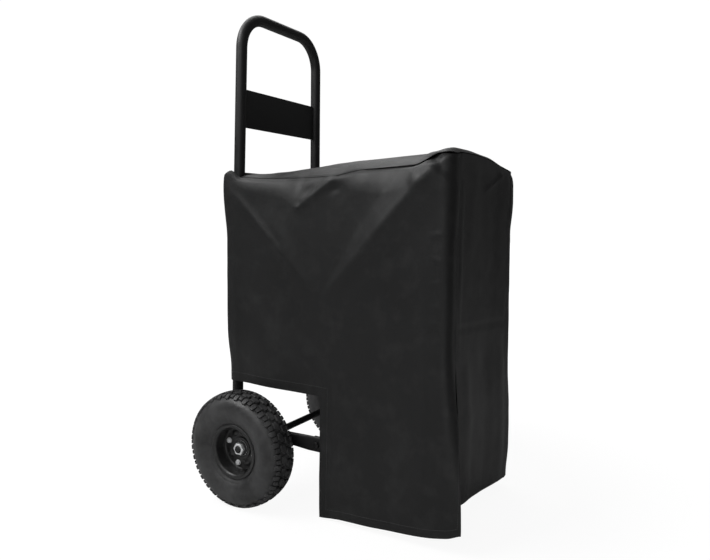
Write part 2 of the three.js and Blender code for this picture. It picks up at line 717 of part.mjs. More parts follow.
// The left side leans in between two tension folds that meet low on the panel, like a slack tent.
const FOLD_REAR = { y: 36, z: 681, ny: -109, nz: 115, depth: 12, reach: 120 };
const FOLD_FRONT = { y: -442, z: 738, ny: 202, nz: 195, depth: 22, reach: 60 };
function lean(fold, y, z) {
  const inside = ((y - fold.y) * fold.ny + (z - fold.z) * fold.nz) / Math.hypot(fold.ny, fold.nz);
  return inside <= 0 ? 0 : fold.depth * (1 - Math.exp(-inside / fold.reach));
}
const SHOULDER = { height: 42, depth: 10 };
function sag(side, y, z) {
  const tent = Math.min(lean(FOLD_REAR, y, z), lean(FOLD_FRONT, y, z));
  const up = clamp01((z - seamAt(side, y) + SHOULDER.height) / SHOULDER.height);
  const shoulder = SHOULDER.depth * up * up * smooth(60, 0, y) * smooth(-450, -400, y);
  return (side < 0 ? tent : RIGHT_TENT * tent) + shoulder;
}

// Outer face of a side panel: pinched in round the upright at the rear, flared out at the hem.
function sideX(side, y, z) {
  const pinch = PINCH.in * smooth(...PINCH.z, z) * smooth(-60, 40, y);
  const flare = FLARE[side < 0 ? "left" : "right"] * smooth(300, 0, z) * smooth(-120, -200, y);
  const belly = BELLY * smooth(700, 500, z) * smooth(40, -60, y);
  return SIDE_X - pinch + flare + belly - sag(side, y, z);
}
const backY = (z) => {
  const bulge = SHOULDER_BULGE.depth * smooth(...SHOULDER_BULGE.z, z);
  return uprightAt(z).y + BACK_STANDOFF + bulge - PINCH.forward * smooth(...PINCH.z, z);
};
const rearRound = (z) => mix(REAR_ROUND.above, REAR_ROUND.below, smooth(...PINCH.z, z));
const faceY = (x, z) => {
  const swing = FRONT_SWING.depth * smooth(...FRONT_SWING.z, z) - FRONT_SWING.drawnBack * smooth(110, 30, z);
  const fullness = mix(FRONT_SWELL.waist, FRONT_SWELL.top, smooth(...FRONT_SWELL.z, z));
  return FACE_Y - swing - fullness * smooth(0, 170, x) * smooth(738, 700, z) * smooth(250, 400, z);
};

const halfWidth = (side, y) => {
  const flat = sideX(side, Math.max(y, FACE_Y + FRONT_ROUND), seamAt(side, y));
  const into = FACE_Y + FRONT_ROUND - y;
  return into <= 0 ? flat : flat - FRONT_ROUND + Math.sqrt(Math.max(0, FRONT_ROUND ** 2 - into ** 2));
};
function topHeight(x, y) {
  const side = x < 0 ? -1 : 1;
  const reach = Math.min(1, Math.abs(x) / halfWidth(side, Math.max(y, FACE_Y + FRONT_ROUND)));
  const seam = seamAt(side, y);
  const crown = mix(along(CREST, y), seam, reach ** SQUARENESS);
  const over = Math.max(0, FRONT_ROLL.from - y) / (FRONT_ROLL.from - FACE_Y);
  return mix(crown, along(FRONT_EDGE, x), smooth(-385, -462, y)) - FRONT_ROLL.drop * over ** 2;
}

// A sheet of cloth from a lattice of points on its outer face; keep(i, j) leaves cells out.
const COVER_MIDDLE = new THREE.Vector3(0, -200, 420); // tells the outside of the cloth from the inside
function sheet(columns, rows, pointAt, keep = () => true) {
  const outer = [];
  for (let j = 0; j <= rows; j++)
    for (let i = 0; i <= columns; i++) outer.push(pointAt(i, j));
  const index = (i, j) => j * (columns + 1) + i;
  const inner = outer.map((p, n) => {
    const [i, j] = [n % (columns + 1), Math.floor(n / (columns + 1))];
    const step = (di, dj) => {
      const [a, b] = [[i + di, j + dj], [i - di, j - dj]].map(([ci, cj]) => [
        Math.min(columns, Math.max(0, ci)),
        Math.min(rows, Math.max(0, cj)),
      ]);
      return outer[index(...a)].clone().sub(outer[index(...b)]);
    };
    const normal = step(1, 0).cross(step(0, 1)).normalize();
    if (normal.dot(p.clone().sub(COVER_MIDDLE)) < 0) normal.negate();
    return p.clone().addScaledVector(normal, -CLOTH_T);
  });
  const faces = [];
  const quad = (a, b, c, d) => faces.push(a, b, c, a, c, d);
  const below = outer.length;
  const kept = (i, j) => i >= 0 && j >= 0 && i < columns && j < rows && keep(i, j);
  for (let j = 0; j < rows; j++)
    for (let i = 0; i < columns; i++) {
      if (!kept(i, j)) continue;
      const [a, b, c, d] = [index(i, j), index(i + 1, j), index(i + 1, j + 1), index(i, j + 1)];
      quad(a, b, c, d);
      quad(d + below, c + below, b + below, a + below);
      if (!kept(i, j - 1)) quad(b, a, a + below, b + below);
      if (!kept(i + 1, j)) quad(c, b, b + below, c + below);
      if (!kept(i, j + 1)) quad(d, c, c + below, d + below);
      if (!kept(i - 1, j)) quad(a, d, d + below, a + below);
    }
  const geometry = new THREE.BufferGeometry();
  const places = [...outer, ...inner].flatMap((p) => [p.x, p.y, p.z]);
  geometry.setAttribute("position", new THREE.Float32BufferAttribute(places, 3));
  geometry.setIndex(faces);
  const made = mergeVertices(geometry.toNonIndexed(), 1e-4);
  if (signedVolume(made) < 0) {
    const turnedOver = Array.from(made.index.array);
    for (let k = 0; k < turnedOver.length; k += 3)
      [turnedOver[k + 1], turnedOver[k + 2]] = [turnedOver[k + 2], turnedOver[k + 1]];
    made.setIndex(turnedOver);
  }
  return made;
}

function signedVolume(geometry) {
  const p = geometry.attributes.position;
  const [a, b, c] = [0, 0, 0].map(() => new THREE.Vector3());
  let sum = 0;
  for (let k = 0; k < geometry.index.count; k += 3) {
    [a, b, c].forEach((v, n) => v.fromBufferAttribute(p, geometry.index.getX(k + n)));
    sum += a.dot(b.cross(c));
  }
  return sum / 6;
}

// Columns round a side panel, from its wrap behind the upright to its wrap on the front.
const REAR_ARC = 3; // round the rear corner
const REAR_COLUMNS = 9; // between the rear corner and the step in the hem
const FRONT_COLUMNS = 9;
const FRONT_ARC = 4; // round the front corner
const SIDE_START = 1 + REAR_ARC;
const FLAP_START = SIDE_START + REAR_COLUMNS;
const CORNER_START = FLAP_START + FRONT_COLUMNS;
const SIDE_COLUMNS = CORNER_START + FRONT_ARC + 1;
function sidePoint(side, column, z) {
  const [rear, round] = [backY(z), rearRound(z)];
  const pivotY = rear - round;
  if (column <= SIDE_START) {
    const x = sideX(side, pivotY, z);
    if (column === 0) return { x: x - REAR_ROUND.above - WRAP, y: rear };
    const a = ((column - 1) / REAR_ARC) * (Math.PI / 2);
    return { x: x - round + round * Math.sin(a), y: pivotY + round * Math.cos(a) };
  }
  const cornerY = faceY(side * SIDE_X, z) + FRONT_ROUND;
  if (column <= FLAP_START) {
    const y = mix(pivotY, FLAP_Y, (column - SIDE_START) / REAR_COLUMNS);
    return { x: sideX(side, y, z), y };
  }
  if (column <= CORNER_START) {
    const y = mix(FLAP_Y, cornerY, (column - FLAP_START) / FRONT_COLUMNS);
    return { x: sideX(side, y, z), y };
  }
  // The corner's bend opens out below the slit on the left, so that the flap points forwards.
  const open = side < 0 ? smooth(SLIT_Z, FLAP_OPEN_Z, z) : 0;
  const bend = (Math.PI / 2) * (1 - FLAP_STRAIGHT * open);
  const arcLength = (FRONT_ROUND * Math.PI) / 2;
  const radius = arcLength / bend;
  const a = (bend * Math.min(FRONT_ARC, column - CORNER_START)) / FRONT_ARC;
  const point = {
    x: sideX(side, cornerY, z) - radius * (1 - Math.cos(a)),
    y: cornerY - radius * Math.sin(a),
  };
  if (column === SIDE_COLUMNS) {
    const wrap = side < 0 ? along(FLAP_REACH, z) : WRAP;
    point.x -= wrap * Math.sin(bend);
    point.y -= wrap * Math.cos(bend);
  }
  return point;
}

// The free flap's front edge, as [height, reach beyond the corner's bend].
const FLAP_REACH = [
  [50, 15.5],
  [105, 9],
  [195, 3],
  [300, 3],
  [330, 7],
  [362, WRAP],
];

const FLAP_HEM = {
  left: [
    [-507, 45],
    [-487, 34],
    [-446, 25],
    [-403, 20],
    [-312, 13],
    [-239, 10],
    [-186, 2],
  ],
  right: [
    [-475, 30],
    [-186, 8],
  ],
};
const FRONT_HEM = [
  [-141, 78],
  [-89, 69],
  [36, 47],
  [125, 33],
  [141, 31],
];

// Rows above and below the rear hem; the left side has the folds.
const SIDE_ROWS = { left: [14, 7], right: [8, 4] };
const UNDER_TOP = CLOTH_T + SEAM_GAP; // from the top panel's outer face to the other panels' upper edge
function sidePanel(name, side) {
  const [upper, lower] = SIDE_ROWS[name];
  const point = (i, j) => {
    const seamPoint = sidePoint(side, i, SEAM_Z);
    const top = topHeight(side * seamPoint.x, seamPoint.y) - UNDER_TOP;
    if (j <= upper) {
      // Rows crowd together towards the seam, where the cloth turns over.
      const z = mix(top, REAR_HEM_Z, (j / upper) ** 1.25);
      const { x, y } = sidePoint(side, i, z);
      return new THREE.Vector3(side * x, y, z);
    }
    const hemY = sidePoint(side, i, HEM_Z).y;
    const z = mix(REAR_HEM_Z, along(FLAP_HEM[name], hemY), (j - upper) / lower);
    const { x, y } = sidePoint(side, i, z);
    return new THREE.Vector3(side * x, y, z);
  };
  return sheet(SIDE_COLUMNS, upper + lower, point, (i, j) => j < upper || i >= FLAP_START);
}

// Half widths of the front and back panels, whose edges stop just short of the side panels' wraps.
const SEAM_SIDE = 1;
const frontHalf = (side, z) =>
  sidePoint(side, SIDE_COLUMNS, side < 0 ? Math.max(z, SLIT_Z) : z).x - SEAM_SIDE;
const backHalf = (side, z) => sidePoint(side, 0, z).x - SEAM_SIDE;

function frontPanel() {
  const [columns, rows] = [10, 12];
  return sheet(columns, rows, (i, j) => {
    const u = i / columns;
    const seamX = mix(-frontHalf(-1, SEAM_Z), frontHalf(1, SEAM_Z), u);
    const top = topHeight(seamX, FACE_Y) - UNDER_TOP;
    const z = mix(top, along(FRONT_HEM, seamX), j / rows);
    const x = mix(-frontHalf(-1, z), frontHalf(1, z), u);
    const hollow = FRONT_HOLLOW * Math.sin(Math.PI * u) * smooth(SEAM_Z, 600, z);
    return new THREE.Vector3(x, faceY(x, z) + hollow, z);
  });
}

function backPanel() {
  const [columns, rows] = [8, 12];
  return sheet(columns, rows, (i, j) => {
    const z = mix(BACK_TOP_Z, REAR_HEM_Z, j / rows);
    const x = mix(-backHalf(-1, z), backHalf(1, z), i / columns);
    return new THREE.Vector3(x, backY(z), z);
  });
}

function topPanel() {
  const [columns, flatRows] = [14, 13];
  const corner = FACE_Y + FRONT_ROUND;
  const flat = Array.from({ length: flatRows }, (_, j) => mix(SLOT_Y, corner + 20, j / (flatRows - 1)));
  const rounded = [0, 0.5, 0.8, 0.95, 1].map((t) => corner - FRONT_ROUND * t);
  const rows = [...flat, ...rounded];
  return sheet(columns, rows.length - 1, (i, j) => {
    const y = rows[j];
    const u = Math.sin(((2 * i) / columns - 1) * (Math.PI / 2) * 0.999);
    const x = u < 0 ? u * halfWidth(-1, y) : u * halfWidth(1, y);
    return new THREE.Vector3(x, y, topHeight(x, y));
  });
}

piece("cover_top", topPanel(), CLOTH);
piece("cover_left", sidePanel("left", -1), CLOTH);
piece("cover_right", sidePanel("right", 1), CLOTH);
piece("cover_front", frontPanel(), CLOTH);
piece("cover_back", backPanel(), CLOTH);

// The origin lies under the middle of the cart's box.
const cartBox = new THREE.Box3().setFromObject(cart, true);
cart.position.y = -(cartBox.min.y + cartBox.max.y) / 2;

const group = new THREE.Group();
group.add(cart);
export default group;
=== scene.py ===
"""The looks of a two-wheeled log cart: painted steel tube, block-tread wheels and a sewn cloth cover.

Shapes are worked out in cart millimetres, with the axle at Y = 0, the front towards -Y and +Z up. shown()
turns them into metres in the shared frame, where the axle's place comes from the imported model.
"""

import math
from itertools import product

import bmesh
import bpy
import numpy as np
from mathutils import Matrix, Vector, noise


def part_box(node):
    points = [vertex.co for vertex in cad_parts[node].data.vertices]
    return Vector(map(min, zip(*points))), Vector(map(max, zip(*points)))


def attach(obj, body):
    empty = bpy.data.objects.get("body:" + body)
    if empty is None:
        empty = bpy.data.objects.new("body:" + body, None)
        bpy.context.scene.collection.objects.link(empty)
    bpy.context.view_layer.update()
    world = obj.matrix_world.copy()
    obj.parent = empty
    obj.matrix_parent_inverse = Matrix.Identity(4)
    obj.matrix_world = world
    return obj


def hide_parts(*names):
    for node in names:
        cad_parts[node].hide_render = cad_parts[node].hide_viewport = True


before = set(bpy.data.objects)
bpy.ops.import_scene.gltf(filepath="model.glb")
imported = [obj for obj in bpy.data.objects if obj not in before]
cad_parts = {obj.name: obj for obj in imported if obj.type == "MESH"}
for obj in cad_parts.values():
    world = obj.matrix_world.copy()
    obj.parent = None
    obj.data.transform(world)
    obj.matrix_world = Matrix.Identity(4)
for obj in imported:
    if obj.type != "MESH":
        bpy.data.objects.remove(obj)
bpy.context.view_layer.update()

MM = 0.001
SIDES = (("left", -1), ("right", 1))

# ---- driving dimensions of the steelwork ----
TUBE_R = 12.5
GAP = 0.35  # clearance between pieces that meet
WHEEL_R = 130.0
TRACK_HALF = 225.0
AXLE_R = 7.8
AXLE_Z = WHEEL_R
RAIL_Z = 150.5
UPRIGHT_FOOT = (162.3, 65.7, RAIL_Z)
UPRIGHT_TOP = (151.6, 57.9, 700.0)
HOOP_TOP = (143.5, 46.5, 1095.0)
HANDLE_BEND = 75.0
FRAME_BEND = 70.0
PANEL_Z = (846.5, 932.0)
PANEL_T = 2.0
JOINT_Y = -162.0
RAIL_X = 160.0
FLAT_DROP = 2.0  # a flattened tube end lies this far below the round tube's middle
JOINT_BOLT_Z = RAIL_Z - FLAT_DROP
FLAT_HALF = 4.5  # half the thickness of a flattened end
FLAT_RISE = {"side": 17.0, "base": 15.0}  # half its height
PRESSED_Y = (-50.0, -138.0)  # where the side rail starts and ends its way from round to flat
FLAT_REACH = 16.0
FRONT_X, FRONT_Y, FRONT_TOP_Z, FRONT_FOOT_Z = 160.0, -455.0, 735.0, 132.0
CROSS_R = 7.5
BASE_CROSS = {"rear": (-42.0, RAIL_Z + 2), "mid": (-215.0, RAIL_Z), "front": (-405.0, RAIL_Z)}
BACK_RAIL_Z = {"lower": 330.0, "upper": 610.0}
LEG_X, LEG_Y, LEG_BEND = 150.0, -330.0, 42.0
CAP_H, CAP_FLOOR, CAP_R = 30.0, 5.0, 15.8
SADDLE_X, SADDLE_T, SADDLE_HALF, SADDLE_LENGTH = 161.3, 3.0, TUBE_R + 0.9, 36.0
SPIGOT_BOLT_Z = 668.0

# ---- driving dimensions of the cover ----
CLOTH_T = 1.4
SIDE_X = 181.0
FACE_Y = -475.0
FRONT_ROUND = 22.0
REAR_ROUND = (11.0, 15.0)  # above and below the pinch
WRAP = 14.0
BACK_STANDOFF = 17.5
PINCH = {"z": (390, 285), "in": 5.5, "forward": 2.5}  # the rear skirt's lower part is drawn in
SHOULDER_BULGE = {"z": (600, 690), "depth": 8.5}  # the back's upper part stands out
FLARE = {-1: 9.0, 1: 5.0}  # of each side's flap at its hem
BELLY = 2.0
FRONT_SWING = {"z": (390, 200), "depth": 8.0, "drawn_back": 4.0}
FRONT_SWELL = {"z": (600, 680), "waist": 3.0, "top": 9.0}
SLOT_Y = 35.0  # rear edge of the top, before the handle
REAR_HEM_Z = 265.0
BACK_TOP_Z = 748.0
FLAP_Y = -186.0  # rear edge of the flap that hangs before the wheel
SLIT_Z = 362.0  # top of the slit between the left flap and the front
FLAP_OPEN_Z = 40.0
FLAP_STRAIGHT = 0.93
SEAM_Z = 740.0
HEM_Z = 40.0
CELL = 4.5  # spacing of the cloth's lattice


# ---- camera ----
CAMERA_PLACE = (-1.267, -0.7394, 0.6405)
CAMERA_YAW = math.radians(31.21)  # from +X towards +Y
CAMERA_PITCH = math.radians(5.57)  # downwards
CAMERA_LENS = 32.15
SENSOR_WIDTH = 36.0


def new_object(name, data):
    obj = bpy.data.objects.new(name, data)
    bpy.context.scene.collection.objects.link(obj)
    return obj


def aim(obj, place, look):
    """Puts a camera or a lamp at a place, in metres, facing along a direction."""
    obj.location = place
    obj.rotation_euler = look.to_track_quat("-Z", "Y").to_euler()


def set_camera():
    data = bpy.data.cameras.new("camera")
    data.lens = CAMERA_LENS
    data.sensor_width = SENSOR_WIDTH
    camera = new_object("camera", data)
    level = math.cos(CAMERA_PITCH)
    look = Vector((math.cos(CAMERA_YAW) * level, math.sin(CAMERA_YAW) * level, -math.sin(CAMERA_PITCH)))
    aim(camera, CAMERA_PLACE, look)
    bpy.context.scene.camera = camera


# ---- shapes ----
def middle_of(node):
    low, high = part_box(node)
    return (Vector(low) + Vector(high)) / 2


CART_ORIGIN = Vector((0, middle_of("axle").y, 0))  # metres
SMOOTH_ANGLE = 38.0


class Shape:
    """Points in cart millimetres and the faces between them; shapes add up to one mesh."""

    def __init__(self, points=(), faces=()):
        self.points = [Vector(p) for p in points]
        self.faces = [tuple(f) for f in faces]

    def __add__(self, other):
        shift = len(self.points)
        added = [tuple(i + shift for i in f) for f in other.faces]
        return Shape(self.points + other.points, self.faces + added)

    def __radd__(self, other):
        return self if other == 0 else other + self

    def moved(self, matrix):
        return Shape([matrix @ p for p in self.points], self.faces)


def smooth_shaded(mesh, angle=SMOOTH_ANGLE):
    mesh.shade_smooth()
    mesh.set_sharp_from_angle(angle=math.radians(angle))


def shown(name, shape, finish, smooth_angle=SMOOTH_ANGLE):
    """A Blender object from a shape, in metres, with outward faces and smooth shading below an angle."""
    mesh = bpy.data.meshes.new(name)
    mesh.from_pydata([p * MM + CART_ORIGIN for p in shape.points], [], shape.faces)
    mesh.materials.append(finish)
    work = bmesh.new()
    work.from_mesh(mesh)
    bmesh.ops.recalc_face_normals(work, faces=work.faces)
    work.to_mesh(mesh)
    work.free()
    smooth_shaded(mesh, smooth_angle)
    return new_object(name, mesh)


def settle(obj, body, slot, *nodes):
    """Ties a finished piece to its body and hides the CAD nodes it stands for; the slot is not used."""
    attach(obj, body)
    if nodes:
        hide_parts(*nodes)
    return obj


def circle(count):
    """Even steps round a circle, as (cosine, sine)."""
    angles = [2 * math.pi * k / count for k in range(count)]
    return [(math.cos(a), math.sin(a)) for a in angles]


def band(first, second, count, closed=True):
    """Four-sided faces between two rows of points, given by the number of the first point of each."""
    reach = count if closed else count - 1
    pairs = [(k, (k + 1) % count) for k in range(reach)]
    return [(first + k, first + n, second + n, second + k) for k, n in pairs]


def turned(profile, segments=72):
    """Turned about X: a closed profile of (radius, distance along X), or one that ends on the axis."""
    points, rings, faces = [], [], []
    for radius, along in profile:
        if radius < 1e-6:
            rings.append([len(points)] * segments)
            points.append((along, 0, 0))
            continue
        rings.append(list(range(len(points), len(points) + segments)))
        points += [(along, radius * c, radius * s) for c, s in circle(segments)]
    closed = profile[0][0] > 1e-6 or profile[-1][0] > 1e-6
    for one, two in zip(rings, rings[1:] + rings[:1] if closed else rings[1:]):
        for k in range(segments):
            n = (k + 1) % segments
            corners = dict.fromkeys((one[k], one[n], two[n], two[k]))
            if len(corners) > 2:
                faces.append(tuple(corners))
    return Shape(points, faces)


def rounded(profile, radius=0.5, steps=3):
    """A closed profile with each corner turned into a small arc-like chamfer."""
    out = []
    count = len(profile)
    for i, corner in enumerate(profile):
        here = Vector(corner)
        before, after = Vector(profile[i - 1]), Vector(profile[(i + 1) % count])
        back, on = before - here, after - here
        reach = min(radius, back.length / 2.2, on.length / 2.2)
        if here.x < 1e-6 or back.length < 1e-6 or on.length < 1e-6:
            out.append(corner)
            continue
        start, end = here + back.normalized() * reach, here + on.normalized() * reach
        for k in range(steps + 1):
            t = k / steps
            out.append(tuple(start * (1 - t) ** 2 + here * (2 * t * (1 - t)) + end * t**2))
    return out


def route(corners, bend, bend_step=math.radians(5)):
    """Stations (point, heading) along straight runs with round bends between them."""
    points = [Vector(c) for c in corners]
    heading = [(b - a).normalized() for a, b in zip(points, points[1:])]
    stations = [(points[0], heading[0])]
    for i in range(1, len(points) - 1):
        inward, outward = heading[i - 1], heading[i]
        angle = inward.angle(outward)
        if angle < 1e-3:
            stations.append((points[i], inward))
            continue
        side = (outward - inward * math.cos(angle)).normalized()
        start = points[i] - inward * bend * math.tan(angle / 2)
        steps = max(2, math.ceil(angle / bend_step))
        for k in range(steps + 1):
            a = angle * k / steps
            point = start + inward * bend * math.sin(a) + side * bend * (1 - math.cos(a))
            stations.append((point, inward * math.cos(a) + side * math.sin(a)))
    stations.append((points[-1], heading[-1]))
    return stations


def swept(stations, radius, sides=32, chamfer=0.8):
    """A round bar along the stations, with chamfered ends."""
    (first, start), (last, end) = stations[0], stations[-1]
    rings = [(first, start, radius - chamfer), (first + start * chamfer, start, radius)]
    rings += [(point, run, radius) for point, run in stations[1:-1]]
    rings += [(last - end * chamfer, end, radius), (last, end, radius - chamfer)]
    across = start.orthogonal().normalized()
    points, faces = [], []
    for point, run, size in rings:
        across = (across - run * across.dot(run)).normalized()
        up = run.cross(across)
        points += [point + (across * c + up * s) * size for c, s in circle(sides)]
    for r in range(len(rings) - 1):
        faces += band(r * sides, (r + 1) * sides, sides)
    last_ring = (len(rings) - 1) * sides
    faces += [tuple(reversed(range(sides))), tuple(range(last_ring, last_ring + sides))]
    return Shape(points, faces)


def tube(corners, radius=TUBE_R, bend=FRAME_BEND):
    return swept(route(corners, bend), radius)


def mix(a, b, t):
    return a + (b - a) * t


def clamp01(t):
    return np.clip(t, 0.0, 1.0)


def smooth(a, b, t):
    s = clamp01((np.asarray(t, dtype=float) - a) / (b - a))
    return s * s * (3 - 2 * s)


def upright_at(z):
    """Middle of the right upright at a height, or of the handle above it."""
    low, high = (UPRIGHT_FOOT, UPRIGHT_TOP) if z < UPRIGHT_TOP[2] else (UPRIGHT_TOP, HOOP_TOP)
    t = (z - low[2]) / (high[2] - low[2])
    return Vector((mix(low[0], high[0], t), mix(low[1], high[1], t), z))


def sided(side, p):
    """A place on the right of the cart, taken to the given side."""
    return (side * p[0], p[1], p[2])


# ---- shader building ----
class Signal:
    """A shader socket that takes arithmetic: each operator adds one Math node."""

    def __init__(self, finish, socket):
        self.finish, self.socket = finish, socket

    def _math(self, operation, *values):
        node = self.finish.add("ShaderNodeMath", {"operation": operation}, dict(enumerate(values)))
        return Signal(self.finish, node.outputs[0])

    def __add__(self, other):
        return self._math("ADD", self, other)

    def __mul__(self, other):
        return self._math("MULTIPLY", self, other)

    def __pow__(self, other):
        return self._math("POWER", self, other)

    def wave(self, pitch):
        """A sine of this length, which runs through -1 to 1 once every pitch."""
        return self._math("SINE", self * (2 * math.pi / pitch))


class Finish:
    """One material: its Principled shader and the nodes that feed it."""

    def __init__(self, name, **constants):
        self.material = bpy.data.materials.new(name)
        self.material.use_nodes = True
        self.nodes = self.material.node_tree.nodes
        self.links = self.material.node_tree.links
        self.nodes.clear()
        self.shader = self.add("ShaderNodeBsdfPrincipled", {}, {})
        self.set(**constants)
        self.add("ShaderNodeOutputMaterial", {}, {"Surface": self.shader.outputs[0]})

    def add(self, kind, settings, values):
        node = self.nodes.new(kind)
        for key, value in settings.items():
            setattr(node, key, value)
        for key, value in values.items():
            self.feed(node.inputs[key], value)
        return node

    def feed(self, socket, value):
        if isinstance(value, Signal):
            value = value.socket
        if isinstance(value, bpy.types.NodeSocket):
            self.links.new(value, socket)
        else:
            socket.default_value = value

    def coordinate(self, name="Object"):
        return self.add("ShaderNodeTexCoord", {}, {}).outputs[name]

    def axes(self, vector):
        node = self.add("ShaderNodeSeparateXYZ", {}, {"Vector": vector})
        return [Signal(self, out) for out in node.outputs]

    def noise(self, vector, scale, detail=3.0, rough=0.55):
        values = {"Vector": vector, "Scale": scale, "Detail": detail, "Roughness": rough}
        return Signal(self, self.add("ShaderNodeTexNoise", {}, values).outputs[0])

    def spread(self, signal, low, high, to_low, to_high):
        values = {0: signal, 1: low, 2: high, 3: to_low, 4: to_high}
        return Signal(self, self.add("ShaderNodeMapRange", {"clamp": True}, values).outputs[0])

    def colour(self, signal, dark, light):
        values = {"Factor": signal, 6: (*dark, 1.0), 7: (*light, 1.0)}
        return self.add("ShaderNodeMix", {"data_type": "RGBA"}, values).outputs[2]

    def bump(self, height, strength, distance, under=None):
        values = {"Height": height, "Strength": strength, "Distance": distance}
        if under is not None:
            values["Normal"] = under
        return self.add("ShaderNodeBump", {}, values).outputs[0]

    def set(self, **values):
        """Feeds the shader's sockets, named with _ for a space, and gives the material."""
        for key, value in values.items():
            self.feed(self.shader.inputs[key.replace("_", " ")], value)
        return self.material


def powder_coat():
    """Satin black powder coat: fine orange peel, a little dust and handling sheen."""
    finish = Finish("satin_black_powder_coat", Specular_IOR_Level=0.4, Coat_Roughness=0.25)
    place = finish.coordinate()
    peel = finish.noise(place, 900.0, 2.0)
    cloud = finish.noise(place, 14.0, 4.0)
    speck = finish.spread(finish.noise(place, 260.0, 2.0), 0.62, 0.7, 0.0, 1.0)
    dust = finish.spread(cloud, 0.35, 0.7, 0.0, 1.0)
    pale = dust * 0.5 + speck * 0.25
    return finish.set(
        Base_Color=finish.colour(pale, (0.0065, 0.0066, 0.007), (0.016, 0.016, 0.0165)),
        Roughness=dust * 0.1 + 0.42 + speck * 0.08,
        Coat_Weight=dust * -0.04 + 0.05,
        Normal=finish.bump(peel, 0.25, 0.0004),
    )


def wheel_paint():
    """Glossier black enamel on pressed steel, with a film of dust in patches."""
    finish = Finish("black_wheel_enamel", Specular_IOR_Level=0.5, Coat_Roughness=0.12)
    place = finish.coordinate()
    cloud = finish.noise(place, 30.0, 4.0)
    scuff = finish.spread(finish.noise(place, 160.0, 3.0), 0.52, 0.66, 0.0, 1.0)
    ripple = finish.bump(finish.noise(place, 90.0, 2.0), 0.25, 0.002)
    pale = cloud * 0.6 + scuff * 0.4
    return finish.set(
        Base_Color=finish.colour(pale, (0.005, 0.005, 0.0052), (0.034, 0.034, 0.034)),
        Roughness=cloud * 0.2 + 0.32 + scuff * 0.12,
        Coat_Weight=cloud * -0.2 + 0.2,
        Normal=finish.bump(finish.noise(place, 700.0, 2.0), 0.2, 0.0003, ripple),
    )


def zinc_plate():
    """Bright zinc: brushed by the machining, faintly clouded by the passivation."""
    finish = Finish("bright_zinc_plate", Metallic=0.45)
    place = finish.coordinate()
    cloud = finish.noise(place, 220.0, 3.0)
    grain = finish.noise(place, 1500.0, 2.0)
    return finish.set(
        Base_Color=finish.colour(cloud, (0.72, 0.73, 0.74), (0.92, 0.93, 0.94)),
        Roughness=cloud * 0.16 + 0.3,
        Normal=finish.bump(grain, 0.15, 0.0002),
    )


def blackened_steel():
    """Washers: dull black oxide with a little oil on it."""
    finish = Finish("blackened_steel", Specular_IOR_Level=0.5, Metallic=0.4)
    cloud = finish.noise(finish.coordinate(), 300.0, 3.0)
    return finish.set(
        Base_Color=finish.colour(cloud, (0.02, 0.02, 0.021), (0.05, 0.05, 0.051)),
        Roughness=cloud * 0.2 + 0.4,
    )


def tyre_rubber():
    """Dull tyre rubber with a patchy bloom."""
    finish = Finish("tyre_rubber", Specular_IOR_Level=0.5)
    place = finish.coordinate()
    cloud = finish.noise(place, 18.0, 4.0)
    fine = finish.noise(place, 900.0, 3.0)
    bloom = finish.spread(cloud + finish.noise(place, 70.0, 3.0) * 0.4, 0.5, 0.9, 0.0, 1.0)
    uneven = finish.bump(finish.noise(place, 32.0, 2.0), 0.3, 0.008)
    return finish.set(
        Base_Color=finish.colour(bloom, (0.017, 0.017, 0.0175), (0.058, 0.058, 0.059)),
        Roughness=bloom * 0.2 + 0.4,
        Normal=finish.bump(fine, 0.35, 0.0004, uneven),
    )


def plain_rubber():
    """Smooth moulded rubber for feet, valves and inner tubes."""
    finish = Finish("moulded_rubber", Specular_IOR_Level=0.4)
    place = finish.coordinate()
    cloud = finish.noise(place, 60.0, 3.0)
    return finish.set(
        Base_Color=finish.colour(cloud, (0.009, 0.009, 0.009), (0.024, 0.024, 0.024)),
        Roughness=cloud * 0.2 + 0.5,
        Normal=finish.bump(finish.noise(place, 800.0, 2.0), 0.3, 0.0003),
    )


WEAVE_PITCH = 0.0011  # metres between threads


def cover_cloth():
    """Charcoal plain-weave polyester with a thin shiny coating; the weave follows the cloth's own UVs."""
    finish = Finish(
        "coated_charcoal_cloth",
        Specular_IOR_Level=0.24,
        Sheen_Weight=0.05,
        Sheen_Roughness=0.45,
        Coat_Roughness=0.42,
    )
    across, up, _ = finish.axes(finish.coordinate("UV"))
    place = finish.coordinate()
    weft, warp = across.wave(WEAVE_PITCH), up.wave(WEAVE_PITCH)
    weave = weft * warp * 0.5 + 0.5
    cloud = finish.noise(place, 9.0, 5.0)
    crush = finish.noise(place, 46.0, 5.0, 0.6)
    rub = finish.spread(finish.noise(place, 24.0, 5.0), 0.5, 0.72, 0.0, 1.0)
    creases = finish.bump(crush, 0.16, 0.004)
    shade = cloud * 0.7 + weave * 0.3
    return finish.set(
        Base_Color=finish.colour(shade, (0.0085, 0.0086, 0.0088), (0.0140, 0.0141, 0.0144)),
        Roughness=cloud * 0.1 + rub * 0.08 + 0.42,
        Coat_Weight=rub * 0.22 + 0.08,
        Normal=finish.bump(weave, 0.22, 0.0004, creases),
    )


def sewing_thread():
    """Twisted black thread, a little shinier than the cloth."""
    finish = Finish("black_sewing_thread", Sheen_Weight=0.2)
    twist = finish.noise(finish.coordinate(), 2500.0, 2.0)
    return finish.set(
        Base_Color=finish.colour(twist, (0.008, 0.008, 0.008), (0.03, 0.03, 0.032)),
        Roughness=twist * 0.2 + 0.4,
    )


